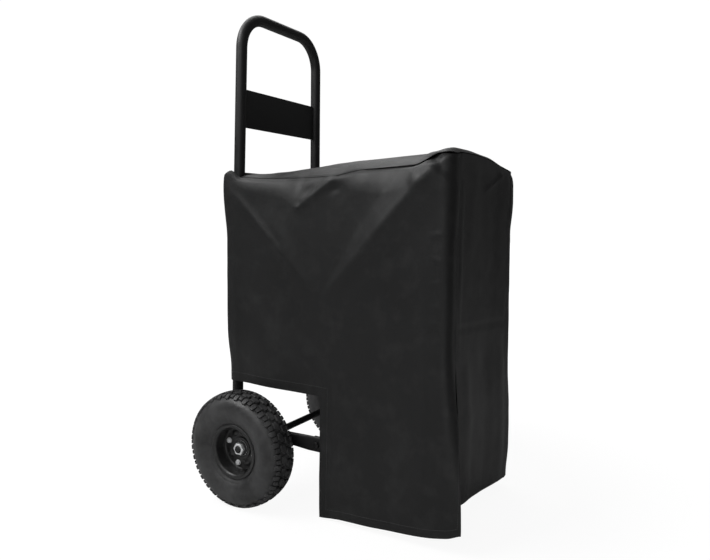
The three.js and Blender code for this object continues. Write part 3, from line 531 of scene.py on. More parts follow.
def floor_finish():
    """Pale floor that glows to the camera alone, less near the cart, so that its shadow stays faint."""
    finish = Finish("pale_floor", Specular_IOR_Level=0.1, Roughness=0.7)
    cloud = finish.noise(finish.coordinate(), 2.0, 3.0)
    finish.set(Base_Color=finish.colour(cloud, (0.52, 0.52, 0.52), (0.56, 0.56, 0.56)))
    seen = Signal(finish, finish.add("ShaderNodeLightPath", {}, {}).outputs["Is Camera Ray"])
    across, along_y, _ = finish.axes(finish.coordinate())
    distance = (across * across + along_y * along_y) ** 0.5
    glow = finish.add("ShaderNodeEmission", {}, {"Strength": FLOOR_GLOW["strength"]})
    share = seen * finish.spread(distance, *FLOOR_GLOW["distance"], *FLOOR_GLOW["share"])
    values = {0: share, 1: finish.shader.outputs[0], 2: glow.outputs[0]}
    mixed = finish.add("ShaderNodeMixShader", {}, values)
    finish.add("ShaderNodeOutputMaterial", {"is_active_output": True}, {"Surface": mixed.outputs[0]})
    return finish.material


POWDER_COAT = powder_coat()
WHEEL_PAINT = wheel_paint()
ZINC = zinc_plate()
BLACKENED = blackened_steel()
TYRE_RUBBER = tyre_rubber()
PLAIN_RUBBER = plain_rubber()
CLOTH = cover_cloth()
THREAD = sewing_thread()


# ---- repeats, made with Geometry Nodes ----
class Tree:
    """A Geometry Nodes group with named inputs; build adds and links its nodes."""

    def __init__(self, name, inputs):
        self.group = bpy.data.node_groups.new(name, "GeometryNodeTree")
        face = self.group.interface
        face.new_socket("Geometry", in_out="INPUT", socket_type="NodeSocketGeometry")
        for label, (kind, default) in inputs.items():
            socket = face.new_socket(label, in_out="INPUT", socket_type="NodeSocket" + kind)
            if default is not None:
                socket.default_value = default
        face.new_socket("Geometry", in_out="OUTPUT", socket_type="NodeSocketGeometry")
        self.given = self.group.nodes.new("NodeGroupInput").outputs

    def add(self, kind, values=None, **settings):
        node = self.group.nodes.new(kind)
        for key, value in settings.items():
            setattr(node, key, value)
        for key, value in (values or {}).items():
            if isinstance(value, bpy.types.NodeSocket):
                self.group.links.new(value, node.inputs[key])
            else:
                node.inputs[key].default_value = value
        return node.outputs[0]

    def give(self, geometry):
        realized = self.add("GeometryNodeRealizeInstances", {0: geometry})
        values = {"Geometry": realized, "Material": self.given["Finish"]}
        coloured = self.add("GeometryNodeSetMaterial", values)
        self.group.links.new(coloured, self.group.nodes.new("NodeGroupOutput").inputs[0])
        return self.group


def ring_tree():
    """Copies of a piece turned about the X axis, evenly spaced."""
    inputs = {"Count": ("Int", 4), "Finish": ("Material", None)}
    tree = Tree("copies_round_axle", inputs)
    points = tree.add("GeometryNodeMeshLine", {"Count": tree.given["Count"], "Offset": (0, 0, 0)})
    share = tree.add("ShaderNodeMath", {0: 2 * math.pi, 1: tree.given["Count"]}, operation="DIVIDE")
    number = tree.add("GeometryNodeInputIndex")
    angle = tree.add("ShaderNodeMath", {0: number, 1: share}, operation="MULTIPLY")
    turn = tree.add("ShaderNodeCombineXYZ", {"X": angle})
    rotation = tree.add("FunctionNodeEulerToRotation", {0: turn})
    values = {"Points": points, "Instance": tree.given["Geometry"], "Rotation": rotation}
    return tree.give(tree.add("GeometryNodeInstanceOnPoints", values))


def path_tree():
    """Small rounded lumps along a path: stitches on a seam or the ripples of a weld."""
    inputs = {
        "Pitch": ("Float", 0.005),
        "Size": ("Vector", (0.001, 0.001, 0.003)),
        "Segments": ("Int", 6),
        "Finish": ("Material", None),
    }
    tree = Tree("lumps_along_path", inputs)
    curve = tree.add("GeometryNodeMeshToCurve", {"Mesh": tree.given["Geometry"]})
    values = {"Curve": curve, "Length": tree.given["Pitch"]}
    places = tree.add("GeometryNodeResampleCurve", values, mode="LENGTH")
    facing = tree.add("GeometryNodeInputNamedAttribute", {"Name": "facing"}, data_type="FLOAT_VECTOR")
    run = tree.add("GeometryNodeInputTangent")
    values = {"Primary Axis": run, "Secondary Axis": facing}
    rotation = tree.add("FunctionNodeAxesToRotation", values, primary_axis="Z", secondary_axis="Y")
    values = {"Segments": tree.given["Segments"], "Rings": 4, "Radius": 0.5}
    ball = tree.add("GeometryNodeMeshUVSphere", values)
    lump = tree.add("GeometryNodeTransform", {"Geometry": ball, "Scale": tree.given["Size"]})
    values = {"Points": places, "Instance": lump, "Rotation": rotation}
    return tree.give(tree.add("GeometryNodeInstanceOnPoints", values))


RING_TREE = ring_tree()
PATH_TREE = path_tree()


def grown(obj, tree, finish, **inputs):
    """Runs a tree on an object, with its inputs set by socket identifier, and keeps the plain result."""
    modifier = obj.modifiers.new("repeat", "NODES")
    modifier.node_group = tree
    names = {s.name: s.identifier for s in tree.interface.items_tree if s.in_out == "INPUT"}
    modifier[names["Finish"]] = finish
    for name, value in inputs.items():
        modifier[names[name]] = value
    bpy.context.view_layer.update()
    ready = obj.evaluated_get(bpy.context.evaluated_depsgraph_get())
    mesh = bpy.data.meshes.new_from_object(ready)
    obj.modifiers.clear()
    old, obj.data = obj.data, mesh
    bpy.data.meshes.remove(old)
    mesh.name = obj.name
    smooth_shaded(mesh)
    return obj


def round_axle(shape, count, finish, name):
    """A shape repeated about the X axis, still in wheel millimetres, as a plain shape."""
    mesh = bpy.data.meshes.new(name)
    mesh.from_pydata(shape.points, [], shape.faces)
    obj = new_object(name, mesh)
    grown(obj, RING_TREE, finish, Count=count)
    made = Shape([v.co for v in obj.data.vertices], [tuple(p.vertices) for p in obj.data.polygons])
    bpy.data.objects.remove(obj)
    return made


def lumps(name, paths, finish, pitch, size, segments=6):
    """One object with lumps along all the paths, which are lists of (point, facing) in cart millimetres."""
    mesh = bpy.data.meshes.new(name)
    points, edges, facing = [], [], []
    for path in paths:
        start = len(points)
        points += [Vector(p) * MM + CART_ORIGIN for p, _ in path]
        facing += [f for _, f in path]
        edges += [(i, i + 1) for i in range(start, len(points) - 1)]
    mesh.from_pydata(points, edges, [])
    mesh.attributes.new("facing", "FLOAT_VECTOR", "POINT").data.foreach_set("vector", np.ravel(facing))
    obj = new_object(name, mesh)
    return grown(obj, PATH_TREE, finish, Pitch=pitch * MM, Size=[s * MM for s in size], Segments=segments)


# ---- frame ----
WELD = {"pitch": 2.4, "size": (3.6, 3.0, 3.8)}
WELD_LIFT = 0.3  # of a bead's middle over the bar's skin


def weld_round(centre, along, radius, steps=24):
    """Path of a weld bead round a bar's end."""
    axis = Vector(along).normalized()
    across = axis.orthogonal().normalized()
    up = axis.cross(across)
    outs = [across * c + up * s for c, s in circle(steps)]
    return [(Vector(centre) + out * (radius + WELD_LIFT), out) for out in [*outs, outs[0]]]


def flattened(shape, rise, squash, centre_x):
    """A round tube end pressed flat across X; squash(y) is 0 where it stays round and 1 where it is flat."""
    for p in shape.points:
        t = float(squash(p.y))
        middle = centre_x(p.y)
        p.x = middle + (p.x - middle) * mix(1, FLAT_HALF / TUBE_R, t)
        p.z = RAIL_Z - FLAT_DROP * t + (p.z - RAIL_Z) * mix(1, rise / TUBE_R, t)
    return shape


BASE_REAR_ROUND = JOINT_Y - 2 * FLAT_REACH - 2
BASE_FRONT_ROUND = FRONT_Y + 2 * FLAT_REACH
BASE_REAR_X = RAIL_X - 2 * FLAT_HALF - GAP
BASE_FRONT_X = FRONT_X - TUBE_R - FLAT_HALF - GAP


def base_rail_x(y):
    t = float(clamp01((BASE_REAR_ROUND - y) / (BASE_REAR_ROUND - BASE_FRONT_ROUND)))
    return mix(BASE_REAR_X, BASE_FRONT_X, t)


def spaced(a, b, count):
    return [mix(a, b, k / (count - 1)) for k in range(count)]


def side_frame(side):
    start, end = PRESSED_Y
    ys = [*spaced(start, end, 15), JOINT_Y - FLAT_REACH]
    corners = [UPRIGHT_TOP, UPRIGHT_FOOT, *((RAIL_X, y, RAIL_Z) for y in ys)]

    def squash(y):
        return clamp01((start - y) / (start - end))

    shape = tube([sided(side, corner) for corner in corners])
    return flattened(shape, FLAT_RISE["side"], squash, lambda y: side * RAIL_X)


def base_rail(side):
    rear, front = BASE_REAR_ROUND, BASE_FRONT_ROUND
    ys = [JOINT_Y + FLAT_REACH - 2, *spaced(rear + FLAT_REACH, rear, 9)]
    ys += [*spaced(front, front - FLAT_REACH, 9), FRONT_Y - 10]

    def squash(y):
        return max(smooth(rear, rear + FLAT_REACH, y), smooth(front, front - FLAT_REACH, y))

    shape = tube([sided(side, (base_rail_x(y), y, RAIL_Z)) for y in ys], bend=30)
    return flattened(shape, FLAT_RISE["base"], squash, lambda y: side * base_rail_x(y))


def arch(x, y, foot, top, bend):
    """An upside-down U across the cart."""
    return tube([(-x, y, foot), (-x, y, top), (x, y, top), (x, y, foot)], bend=bend)


def handle_hoop():
    foot = upright_at(UPRIGHT_TOP[2] + GAP)
    corners = [sided(-1, foot), sided(-1, HOOP_TOP), HOOP_TOP, tuple(foot)]
    return tube(corners, bend=HANDLE_BEND)


def handle_plate():
    """Sheet plate with rolled edges between the handle's legs, in the plane of their centre lines."""
    low, high = (upright_at(z) for z in PANEL_Z)
    half, edge = PANEL_T / 2, 0.7
    height = PANEL_Z[1] - PANEL_Z[0]
    rows = [(0, edge), (edge, half), (height - edge, half), (height, edge)]
    section = [(rise, -thick) for rise, thick in rows] + [(rise, thick) for rise, thick in reversed(rows)]
    up = (high - low).normalized()
    up.x = 0
    up.normalize()
    out = Vector((0, -up.z, up.y))
    points = []
    for side in (-1, 1):
        for rise, thick in section:
            centre = low + up * rise
            reach = upright_at(centre.z).x - TUBE_R - GAP
            points.append(Vector((side * reach, centre.y, centre.z)) - out * thick)
    count = len(section)
    faces = [*band(0, count, count), tuple(range(count)), tuple(reversed(range(count, 2 * count)))]
    return Shape(points, faces), low, up, out


PLATE_WELD = {"from_edge": 3, "step": 3, "steps": 7, "length": 18, "lift": 1.4}


def plate_welds():
    """Short weld runs at the plate's four corners, front and back."""
    _, low, up, out = handle_plate()
    first = PLATE_WELD["from_edge"]
    last = PANEL_Z[1] - PANEL_Z[0] - first - PLATE_WELD["length"]
    paths = []
    for side, start, face in product((-1, 1), (first, last), (-1, 1)):
        path = []
        for k in range(PLATE_WELD["steps"]):
            centre = low + up * (start + PLATE_WELD["step"] * k)
            reach = upright_at(centre.z).x - TUBE_R - 0.2
            place = Vector((side * reach, centre.y, centre.z)) + out * face * PLATE_WELD["lift"]
            path.append((place, out * face))
        paths.append(path)
    return paths


def cross_bar(half, y, z):
    return swept(route([(-half, y, z), (half, y, z)], 0), CROSS_R)


def foot_cap():
    bore = TUBE_R + GAP
    profile = [(0, 0), (CAP_R, 0), (CAP_R, CAP_H), (bore, CAP_H), (bore, CAP_FLOOR), (0, CAP_FLOOR)]
    return turned([profile[0], *rounded(profile[1:-1], 1.2), profile[-1]], 48)


def axle_saddle():
    """U-shaped strap of 3 mm sheet round the rail, with bent corners, open at the top."""
    low, high = AXLE_Z - AXLE_R - 6.5, RAIL_Z + 9

    def outline(half, foot, bend):
        turns = [(1 - math.sin(a), 1 - math.cos(a)) for a in spaced(math.pi / 2, 0, 6)]
        line = [(-half, high), *((-half + bend * across, foot + bend * up) for across, up in turns)]
        return line + [(-x, z) for x, z in reversed(line)]

    outside = outline(SADDLE_HALF + SADDLE_T, low, 4.0)
    inside = outline(SADDLE_HALF, low + SADDLE_T, 2.8)
    count = len(outside)
    points = [(x, y, z) for y in (-SADDLE_LENGTH / 2, SADDLE_LENGTH / 2) for x, z in outside + inside]
    other = 2 * count
    faces = [(k, count + k, other + count + k, other + k) for k in (0, count - 1)]
    for one, two in ((0, count), (other, other + count), (0, other), (count, other + count)):
        faces += band(one, two, count, closed=False)
    return Shape(points, faces)


def hexagon_bolt(shank, head_r, head, nut, grip):
    """Chamfered hexagon head, washer face and nut on one shank, along X; the head's seat is at 0."""

    def hexagon(from_x, to_x, dome):
        flat = head_r * math.cos(math.pi / 6)
        back = -1 if to_x > from_x else 1
        points = [(x, head_r * c, head_r * s) for x in (from_x, to_x + back * dome) for c, s in circle(6)]
        points += [(to_x + back * dome * 0.15, flat * c, flat * s) for c, s in circle(24)]
        points += [(to_x, flat * 0.86 * c, flat * 0.86 * s) for c, s in circle(24)]
        faces = [tuple(range(6)), tuple(range(36, 60)), *band(0, 6, 6), *band(12, 36, 24)]
        for k in range(6):
            n = (k + 1) % 6
            for j in range(4):
                a, b = 12 + 4 * k + j, 12 + (4 * k + j + 1) % 24
                faces.append((6 + k, a, b) if j < 2 else (6 + n, a, b))
            faces.append((6 + k, 12 + (4 * k + 2) % 24, 6 + n))
        return Shape(points, faces)

    seat, tip = 1.1, -grip - nut - 2
    washer = rounded([(shank, 0), (head_r * 1.12, 0), (head_r * 1.12, seat), (shank, seat)], 0.3, 2)
    bar = [(0, head * 0.3), (shank, head * 0.3), (shank, tip + 0.7), (shank - 0.7, tip), (0, tip)]
    return hexagon(seat, head, 0.9) + hexagon(-grip, -grip - nut, 0.8) + turned(washer, 32) + turned(bar, 24)


RAIL_BOLT = {"shank": 4.0, "head_r": 7.5, "head": 5.5, "nut": 6.5}
HANDLE_BOLT = {"shank": 3.0, "head_r": 5.8, "head": 4.0, "nut": 5.0}
RIM_BOLT = {"shank": 3.0, "head_r": 5.8, "head": 4.2, "nut": 5.0}


def facing_out(side):
    """Turns a shape made along +X to point outwards on its side of the cart."""
    return Matrix.Rotation(math.pi, 4, "Z") if side < 0 else Matrix.Identity(4)


def set_bolt(name, side, sizes, grip, place, turn):
    x, y, z = place
    matrix = Matrix.Translation((side * x, y, z)) @ facing_out(side) @ Matrix.Rotation(turn, 4, "X")
    obj = shown(f"{name}_set", hexagon_bolt(**sizes, grip=grip).moved(matrix), POWDER_COAT, 30)
    settle(obj, "frame", "frame_paint", name)


def build_frame():
    def painted(name, shape, *nodes):
        settle(shown(name, shape, POWDER_COAT), "frame", "frame_paint", *nodes)

    painted("handle_tube", handle_hoop(), "handle_hoop")
    painted("handle_plate", handle_plate()[0], "handle_panel")
    painted("front_hoop_tube", arch(FRONT_X, FRONT_Y, FRONT_FOOT_Z, FRONT_TOP_Z, HANDLE_BEND), "front_hoop")
    leg = arch(LEG_X, LEG_Y, CAP_FLOOR + GAP, RAIL_Z - 2 * TUBE_R - GAP, LEG_BEND)
    painted("support_leg_tube", leg, "support_leg")
    welds = plate_welds()
    for name, (y, z) in BASE_CROSS.items():
        half = (RAIL_X if name == "rear" else base_rail_x(y)) - TUBE_R - GAP
        painted(f"base_bar_{name}", cross_bar(half, y, z), f"base_cross_{name}")
        welds += [weld_round((side * half, y, z), (1, 0, 0), CROSS_R) for side in (-1, 1)]
    for name, z in BACK_RAIL_Z.items():
        x, y, _ = upright_at(z)
        painted(f"back_bar_{name}", cross_bar(x - TUBE_R - GAP, y, z), f"back_rail_{name}")
        welds += [weld_round((side * (x - TUBE_R), y, z), (1, 0, 0), CROSS_R) for side in (-1, 1)]
    for name, side in SIDES:
        painted(f"side_tube_{name}", side_frame(side), f"side_frame_{name}")
        painted(f"base_tube_{name}", base_rail(side), f"base_rail_{name}")
        saddle = axle_saddle().moved(Matrix.Translation((side * SADDLE_X, 0, 0)))
        painted(f"axle_strap_{name}", saddle, f"axle_saddle_{name}")
        upright = Matrix.Rotation(-math.pi / 2, 4, "Y")
        cap = foot_cap().moved(Matrix.Translation((side * LEG_X, LEG_Y, 0)) @ upright)
        settle(shown(f"rubber_foot_{name}", cap, PLAIN_RUBBER), "frame", "plain_rubber", f"foot_cap_{name}")
        face = (RAIL_X + FLAT_HALF + GAP, JOINT_Y, JOINT_BOLT_Z)
        set_bolt(f"rail_bolt_{name}", side, RAIL_BOLT, 4 * FLAT_HALF + 3 * GAP, face, 0.2)
        face = (FRONT_X + TUBE_R + GAP, FRONT_Y, RAIL_Z)
        set_bolt(f"front_bolt_{name}", side, RAIL_BOLT, 2 * TUBE_R + 2 * FLAT_HALF + 3 * GAP, face, 0.1)
        x, y, z = upright_at(SPIGOT_BOLT_Z)
        face = (x + TUBE_R + GAP, y, z)
        set_bolt(f"handle_bolt_{name}", side, HANDLE_BOLT, 2 * TUBE_R + 2 * GAP, face, 0.3)
        welds.append(weld_round((side * LEG_X, LEG_Y + 9, RAIL_Z - TUBE_R - 1), (0, 0, 1), 5))
    beads = lumps("frame_welds", welds, POWDER_COAT, WELD["pitch"], WELD["size"], 8)
    settle(beads, "frame", "frame_paint")


# ---- wheels: distances are outwards along the axle from the wheel's middle plane ----
HUB_FACE, HUB_END = 1.0, -36.0
HUB_R, HUB_FLANGE_R = 20.0, 25.0
BEARING_R, BEARING_W = 17.4, 11.0
BOLT_CIRCLE_R = 37.5
BOLT_TURN = math.radians(-17)
RIM_SEAT, RIM_GRIP = -1.9, 4.6
AXLE_END = 14.0
LUG_H = 5.0
LUG_LEVELS = [(1.06, -0.35), (1.0, 0.8), (0.9, 1.0)]  # a block's spread and its share of the height
SHOULDER_LUG = {"across": (26, 38), "height": 0.45}  # where the blocks get lower, and by how much

# Half section of the tyre's outside, from the bead to the crown, without its lugs: (radius, distance)
WALL = [
    (52.9, 19.5), (52.9, 24.4), (54.5, 26.2), (60.0, 26.4), (64.0, 27.6), (66.2, 30.4), (68.4, 31.0),
    (70.6, 32.4), (76.0, 36.2), (84.0, 38.9), (92.0, 39.8), (100.0, 39.4), (107.0, 37.6), (113.0, 34.6),
    (118.0, 30.0), (121.6, 23.5), (123.6, 15.0), (124.6, 7.0), (125.0, 0.0),
]
LINING = [(118.0, 20.0), (108.0, 31.0), (92.0, 35.0), (76.0, 31.5), (64.0, 21.0)]


class Section:
    """A walk along the tyre's outside: place(t) is t millimetres from the crown, to either side."""

    def __init__(self):
        self.points = [Vector(p) for p in reversed(WALL)]
        self.lengths = np.cumsum([0.0] + [(b - a).length for a, b in zip(self.points, self.points[1:])])

    def place(self, t):
        radius = float(np.interp(abs(t), self.lengths, [p.x for p in self.points]))
        out = float(np.interp(abs(t), self.lengths, [p.y for p in self.points]))
        return Vector((radius, math.copysign(out, t)))

    def normal(self, t):
        ahead, behind = self.place(t + 2.0), self.place(t - 2.0)
        run = (ahead - behind).normalized()
        return Vector((run.y, -run.x))


SECTION = Section()


def lug(outline):
    """One tread block: outline of (round, across) millimetres on the tyre's skin, raised and chamfered."""
    count = len(outline)
    centre = Vector((sum(p[0] for p in outline), sum(p[1] for p in outline))) / count

    def lifted(p, scale, share):
        q = centre + (Vector(p) - centre) * scale
        lower = mix(1, SHOULDER_LUG["height"], float(smooth(*SHOULDER_LUG["across"], abs(q.y))))
        skin = SECTION.place(q.y) + SECTION.normal(q.y) * (LUG_H * lower * share)
        angle = q.x / WHEEL_R
        return (skin.y, skin.x * math.cos(angle), skin.x * math.sin(angle))

    points = [lifted(p, scale, share) for scale, share in LUG_LEVELS for p in outline]
    faces = [*band(0, count, count), *band(count, 2 * count, count)]
    points.append(lifted(centre, 1.0, 1.0))
    faces += [(a, b, 3 * count) for a, b, _, _ in band(2 * count, 0, count)]
    faces.append(tuple(reversed(range(count))))
    return Shape(points, faces)


# Blocks of one pitch on the right half of the tread: (round, across)
CROWN_BLOCK = [
    (-9.8, 2.2), (3.2, 1.4), (5.4, 5.2), (9.6, 6.2), (9.0, 14.6), (-3.6, 15.4), (-5.6, 11.4), (-10.0, 10.4),
]
LONG_BLOCK = [
    (-5.2, 18.6), (4.4, 17.4), (5.4, 23.0), (5.0, 28.0), (3.8, 32.0), (-4.0, 32.0), (-5.2, 28.0),
    (-5.8, 23.0),
]
SHORT_BLOCK = [(-4.4, 18.2), (5.0, 19.0), (5.2, 23.5), (3.8, 27.5), (-3.8, 27.5), (-5.0, 23.5)]
LUG_COUNT = 32


def tread_pitch():
    """The lugs of one pitch: staggered zigzag blocks at the crown, long and short ones on the shoulders."""
    half = math.pi * WHEEL_R / LUG_COUNT
    blocks = 0
    for side, shift in ((1, 0.0), (-1, half)):
        for outline, place in ((CROWN_BLOCK, 0.0), (LONG_BLOCK, half), (SHORT_BLOCK, 0.0)):
            blocks += lug([(side * u + place + shift, side * v) for u, v in outline])
    return blocks


def tyre():
    outside = WALL + [(r, -a) for r, a in reversed(WALL[:-1])]
    lining = [(r, -a) for r, a in LINING[::-1]] + [(119.5, 0.0)] + LINING
    return turned(outside + lining, 144)


def offset_sheet(line, thickness):
    """Closed profile of a sheet bent along a line of (radius, distance)."""
    points = [Vector(p) for p in line]
    sides = ([], [])
    for i, p in enumerate(points):
        before, after = points[max(0, i - 1)], points[min(len(points) - 1, i + 1)]
        run = (after - before).normalized()
        normal = Vector((-run.y, run.x)) * thickness / 2
        sides[0].append(tuple(p - normal))
        sides[1].append(tuple(p + normal))
    return sides[0] + sides[1][::-1]


def softened(line, radius, steps=4):
    """An open line with its inner corners rounded."""
    closed = rounded([(p[0] + 1e-3, p[1]) for p in line], radius, steps)
    return [line[0], *closed[steps + 1 : -(steps + 1)], line[-1]]


RIM_T = 1.8
DISC_R = 46.5
OUTER_RIM = [
    (61.2, 25.9), (60.6, 28.4), (57, 29.0), (51.8, 25.2), (51.2, 4), (48, -2.7), (42, -3), (20.8, -3),
]
INNER_RIM = [
    (20.8, -5.1), (42, -5.1), (48, -5.2), (51.2, -11), (51.8, -25.2), (57, -29.0), (60.6, -28.4),
    (61.2, -25.9),
]
RIM_BOLTS = 4
BOSS = {"radius": 35.0, "wide": 9.0, "tall": 5.5, "height": 3.2}


def stamped(shape):
    """Shallow oval bosses pressed out of the rim's disc, one between each two bolts."""
    apart = 2 * math.pi / RIM_BOLTS
    for p in shape.points:
        r, a = math.hypot(p.y, p.z), math.atan2(p.z, p.y)
        if r > DISC_R or p.x > 3:
            continue
        phase = (a - BOLT_TURN) / apart - 0.5
        swing = (phase - round(phase)) * apart * BOSS["radius"]
        reach = (swing / BOSS["wide"]) ** 2 + ((r - BOSS["radius"]) / BOSS["tall"]) ** 2
        p.x += BOSS["height"] * math.exp(-(reach**2))
    return shape


def disc_line(line, step=1.6):
    """The line with extra points along its disc, so that the stamping has something to bend."""
    out = []
    for (r0, a0), (r1, a1) in zip(line, line[1:]):
        count = max(1, round(math.hypot(r1 - r0, a1 - a0) / step)) if max(r0, r1) < DISC_R + 2.5 else 1
        out += [(mix(r0, r1, k / count), mix(a0, a1, k / count)) for k in range(count)]
    return [*out, line[-1]]


def rim_half(line):
    return turned(offset_sheet(disc_line(softened(line, 3.0)), RIM_T), 96)


def hub():
    pocket, depth = BEARING_R + 0.4, BEARING_W + 1
    bore = AXLE_R + 2.2
    profile = [
        (bore, HUB_END + depth), (pocket, HUB_END + depth), (pocket, HUB_END), (HUB_R, HUB_END),
        (HUB_R, HUB_FACE - 2.8), (HUB_FLANGE_R, HUB_FACE - 2.8), (HUB_FLANGE_R, HUB_FACE),
        (pocket, HUB_FACE), (pocket, HUB_FACE - depth), (bore, HUB_FACE - depth),
    ]
    return turned(rounded(profile, 0.9), 64)


def ring(bore, radius, low, high, edge=0.4, segments=56):
    return turned(rounded([(bore, low), (radius, low), (radius, high), (bore, high)], edge), segments)


VALVE_TURN = math.radians(-52)
VALVE_FROM, VALVE_TO = (56.0, 2.0), (43.0, 30.0)


def valve_stem():
    """Rubber stem with a flared root and a plain cap, leaning outwards from the rim's well."""

    def point(t):
        r, x = mix(VALVE_FROM[0], VALVE_TO[0], t), mix(VALVE_FROM[1], VALVE_TO[1], t)
        return Vector((x, r * math.cos(VALVE_TURN), r * math.sin(VALVE_TURN)))

    length = (point(1) - point(0)).length
    start = point(0.15)
    run = (point(1) - start).normalized()
    reach = length * 0.85
    profile = [
        (0, 0), (4.1, 0), (4.3, 3), (4.1, reach * 0.42), (3.2, reach * 0.5), (3.0, reach * 0.62),
        (3.5, reach * 0.63), (3.5, reach * 0.94), (2.6, reach), (0, reach),
    ]
    turn = Vector((1, 0, 0)).rotation_difference(run).to_matrix().to_4x4()
    return turned(profile, 20).moved(Matrix.Translation(start) @ turn)


def axle_nut():
    """Hexagon nut on the axle's end, chamfered like the bolts."""
    outer, bore = 14.2, 8.4
    seat, shoulder, end = HUB_FACE + 2.8, HUB_FACE + 9.2, HUB_FACE + 10.2
    levels = [(seat, outer), (shoulder, outer), (end, outer * 0.9)]
    points = [(x, radius * c, radius * s) for x, radius in levels for c, s in circle(6)]
    points += [(x, bore * c, bore * s) for x in (end, seat) for c, s in circle(30)]
    faces = [*band(0, 6, 6), *band(6, 12, 6), *band(18, 48, 30)]
    for start, hexagon in ((18, 12), (48, 0)):
        for k in range(6):
            arc = [start + (5 * k + j) % 30 for j in range(6)]
            faces.append((hexagon + k, *arc, hexagon + (k + 1) % 6))
    return Shape(points, faces)


def build_wheel(name, side):
    body = f"{name}_wheel"
    place = Matrix.Translation((side * TRACK_HALF, 0, AXLE_Z)) @ facing_out(side)

    def fitted(what, shape, finish, slot, *nodes, angle=SMOOTH_ANGLE, rides=body):
        obj = shown(f"{what}_{name}", shape.moved(place), finish, angle)
        return settle(obj, rides, slot, *nodes)

    tread = round_axle(tread_pitch(), LUG_COUNT, TYRE_RUBBER, "tread")
    fitted("tyre", tyre() + tread, TYRE_RUBBER, "tyre_rubber", f"{name}_tyre")
    fitted("rim_face", stamped(rim_half(OUTER_RIM)), WHEEL_PAINT, "wheel_paint", f"{name}_rim_outer")
    fitted("rim_back", stamped(rim_half(INNER_RIM)), WHEEL_PAINT, "wheel_paint", f"{name}_rim_inner")
    fitted("hub", hub(), WHEEL_PAINT, "wheel_paint", f"{name}_hub")
    one = hexagon_bolt(**RIM_BOLT, grip=RIM_GRIP).moved(
        Matrix.Rotation(BOLT_TURN, 4, "X") @ Matrix.Translation((RIM_SEAT, BOLT_CIRCLE_R, 0))
    )
    bolts = round_axle(one, RIM_BOLTS, ZINC, "bolts")
    fitted("rim_bolts", bolts, ZINC, "zinc", *(f"{name}_rim_bolt_{k}" for k in (1, 2, 3, 4)), angle=30)
    fitted("valve", valve_stem(), PLAIN_RUBBER, "plain_rubber", f"{name}_valve_stem")
    seals = ring(AXLE_R + 1.5, BEARING_R - 1, HUB_FACE - 0.9, HUB_FACE - 0.3)
    fitted("bearing_seal", seals, PLAIN_RUBBER, "plain_rubber")
    bore = AXLE_R + 0.3
    saddle_face = SADDLE_X + SADDLE_HALF + SADDLE_T - TRACK_HALF
    spacer = ring(bore, 11.5, saddle_face + GAP, HUB_END + 0.1)
    fitted("spacer", spacer, ZINC, "zinc", f"axle_spacer_{name}", rides="frame")
    washer = ring(bore, 16.8, HUB_FACE + GAP, HUB_FACE + 2.5)
    fitted("washer", washer, BLACKENED, "zinc", f"axle_washer_{name}", rides="frame")
    fitted("nut", axle_nut(), ZINC, "zinc", f"axle_nut_{name}", angle=25, rides="frame")


AXLE_THREAD = {"turns": 12, "pitch": 0.9, "depth": 0.45, "from_end": 1.4}


def build_axle():
    reach, depth = TRACK_HALF + AXLE_END, AXLE_THREAD["depth"]
    thread = []
    for turn in reversed(range(AXLE_THREAD["turns"])):
        x = reach - AXLE_THREAD["from_end"] - AXLE_THREAD["pitch"] * turn
        thread += [(AXLE_R - depth, x - AXLE_THREAD["pitch"] / 2), (AXLE_R, x)]
    half = [(AXLE_R, 0.0), (AXLE_R, reach - 14), *thread, (AXLE_R - 0.5, reach - 0.6), (AXLE_R - 1.4, reach)]
    profile = [(0, -reach), *((r, -x) for r, x in reversed(half[1:])), *half[1:], (0, reach)]
    bar = turned(profile, 40).moved(Matrix.Translation((0, 0, AXLE_Z)))
    settle(shown("axle_bar", bar, POWDER_COAT, 30), "frame", "frame_paint", "axle")


# ---- cover: the surfaces ----
# Tables of the cover's lines: seams and hems of the sides, and the top's crest, as (y, z)
SEAM = [
    (-475, 768), (-455, 757), (-432, 743), (-370, 742), (-270, 738), (-247, 734), (-217, 727), (-90, 727),
    (-34, 728), (44, 732.5), (50, 748), (57, 753), (70, 745), (85, 735),
]
RIGHT_SEAM_FRONT = 741.0
CREST = [
    (-420, 773), (-367, 769.5), (-277, 767), (-228, 765.5), (-175, 763), (-112, 756), (-46, 747), (0, 743),
    (38, 745),
]
LEFT_HEM = [(-507, 45), (-487, 34), (-446, 25), (-403, 20), (-312, 13), (-239, 10), (-186, 2)]
RIGHT_HEM = [(-475, 30), (-186, 8)]
LOWEST_HEM = 10.0

# and of the front, as (x, z)
FRONT_EDGE = [
    (-178, 756), (-165, 767), (-136, 773.5), (-52, 774.5), (44, 770), (97, 761), (153, 754.5), (178, 746),
]
FRONT_HEM = [(-141, 78), (-89, 69), (36, 47), (125, 33), (141, 31)]

FRONT_ROLL = {"from": -455, "drop": 9.0}  # the top rolls over its front edge
SOFTENING = np.linspace(-9, 9, 7)  # millimetres over which a table's corners are smoothed


def along(pairs, t, softening=SOFTENING):
    """Value at t of a table of (at, value), with its corners smoothed."""
    xs, ys = zip(*pairs)
    return sum(np.interp(np.asarray(t, dtype=float) + d, xs, ys) for d in softening) / len(softening)


def seam_at(side, y):
    left = along(SEAM, y)
    if side < 0:
        return left
    return mix(left, np.minimum(left, RIGHT_SEAM_FRONT), smooth(-400, -460, y))


# The cover's side stands like a tent between two folds, each with a point on it and the way in from it
FOLD_REAR = {"y": 36, "z": 681, "ny": -109, "nz": 115, "depth": 12, "reach": 120}
FOLD_FRONT = {"y": -442, "z": 738, "ny": 202, "nz": 195, "depth": 19, "reach": 60}
TENT_SHARE = {-1: 1.0, 1: 0.55}  # the right side's is shallower


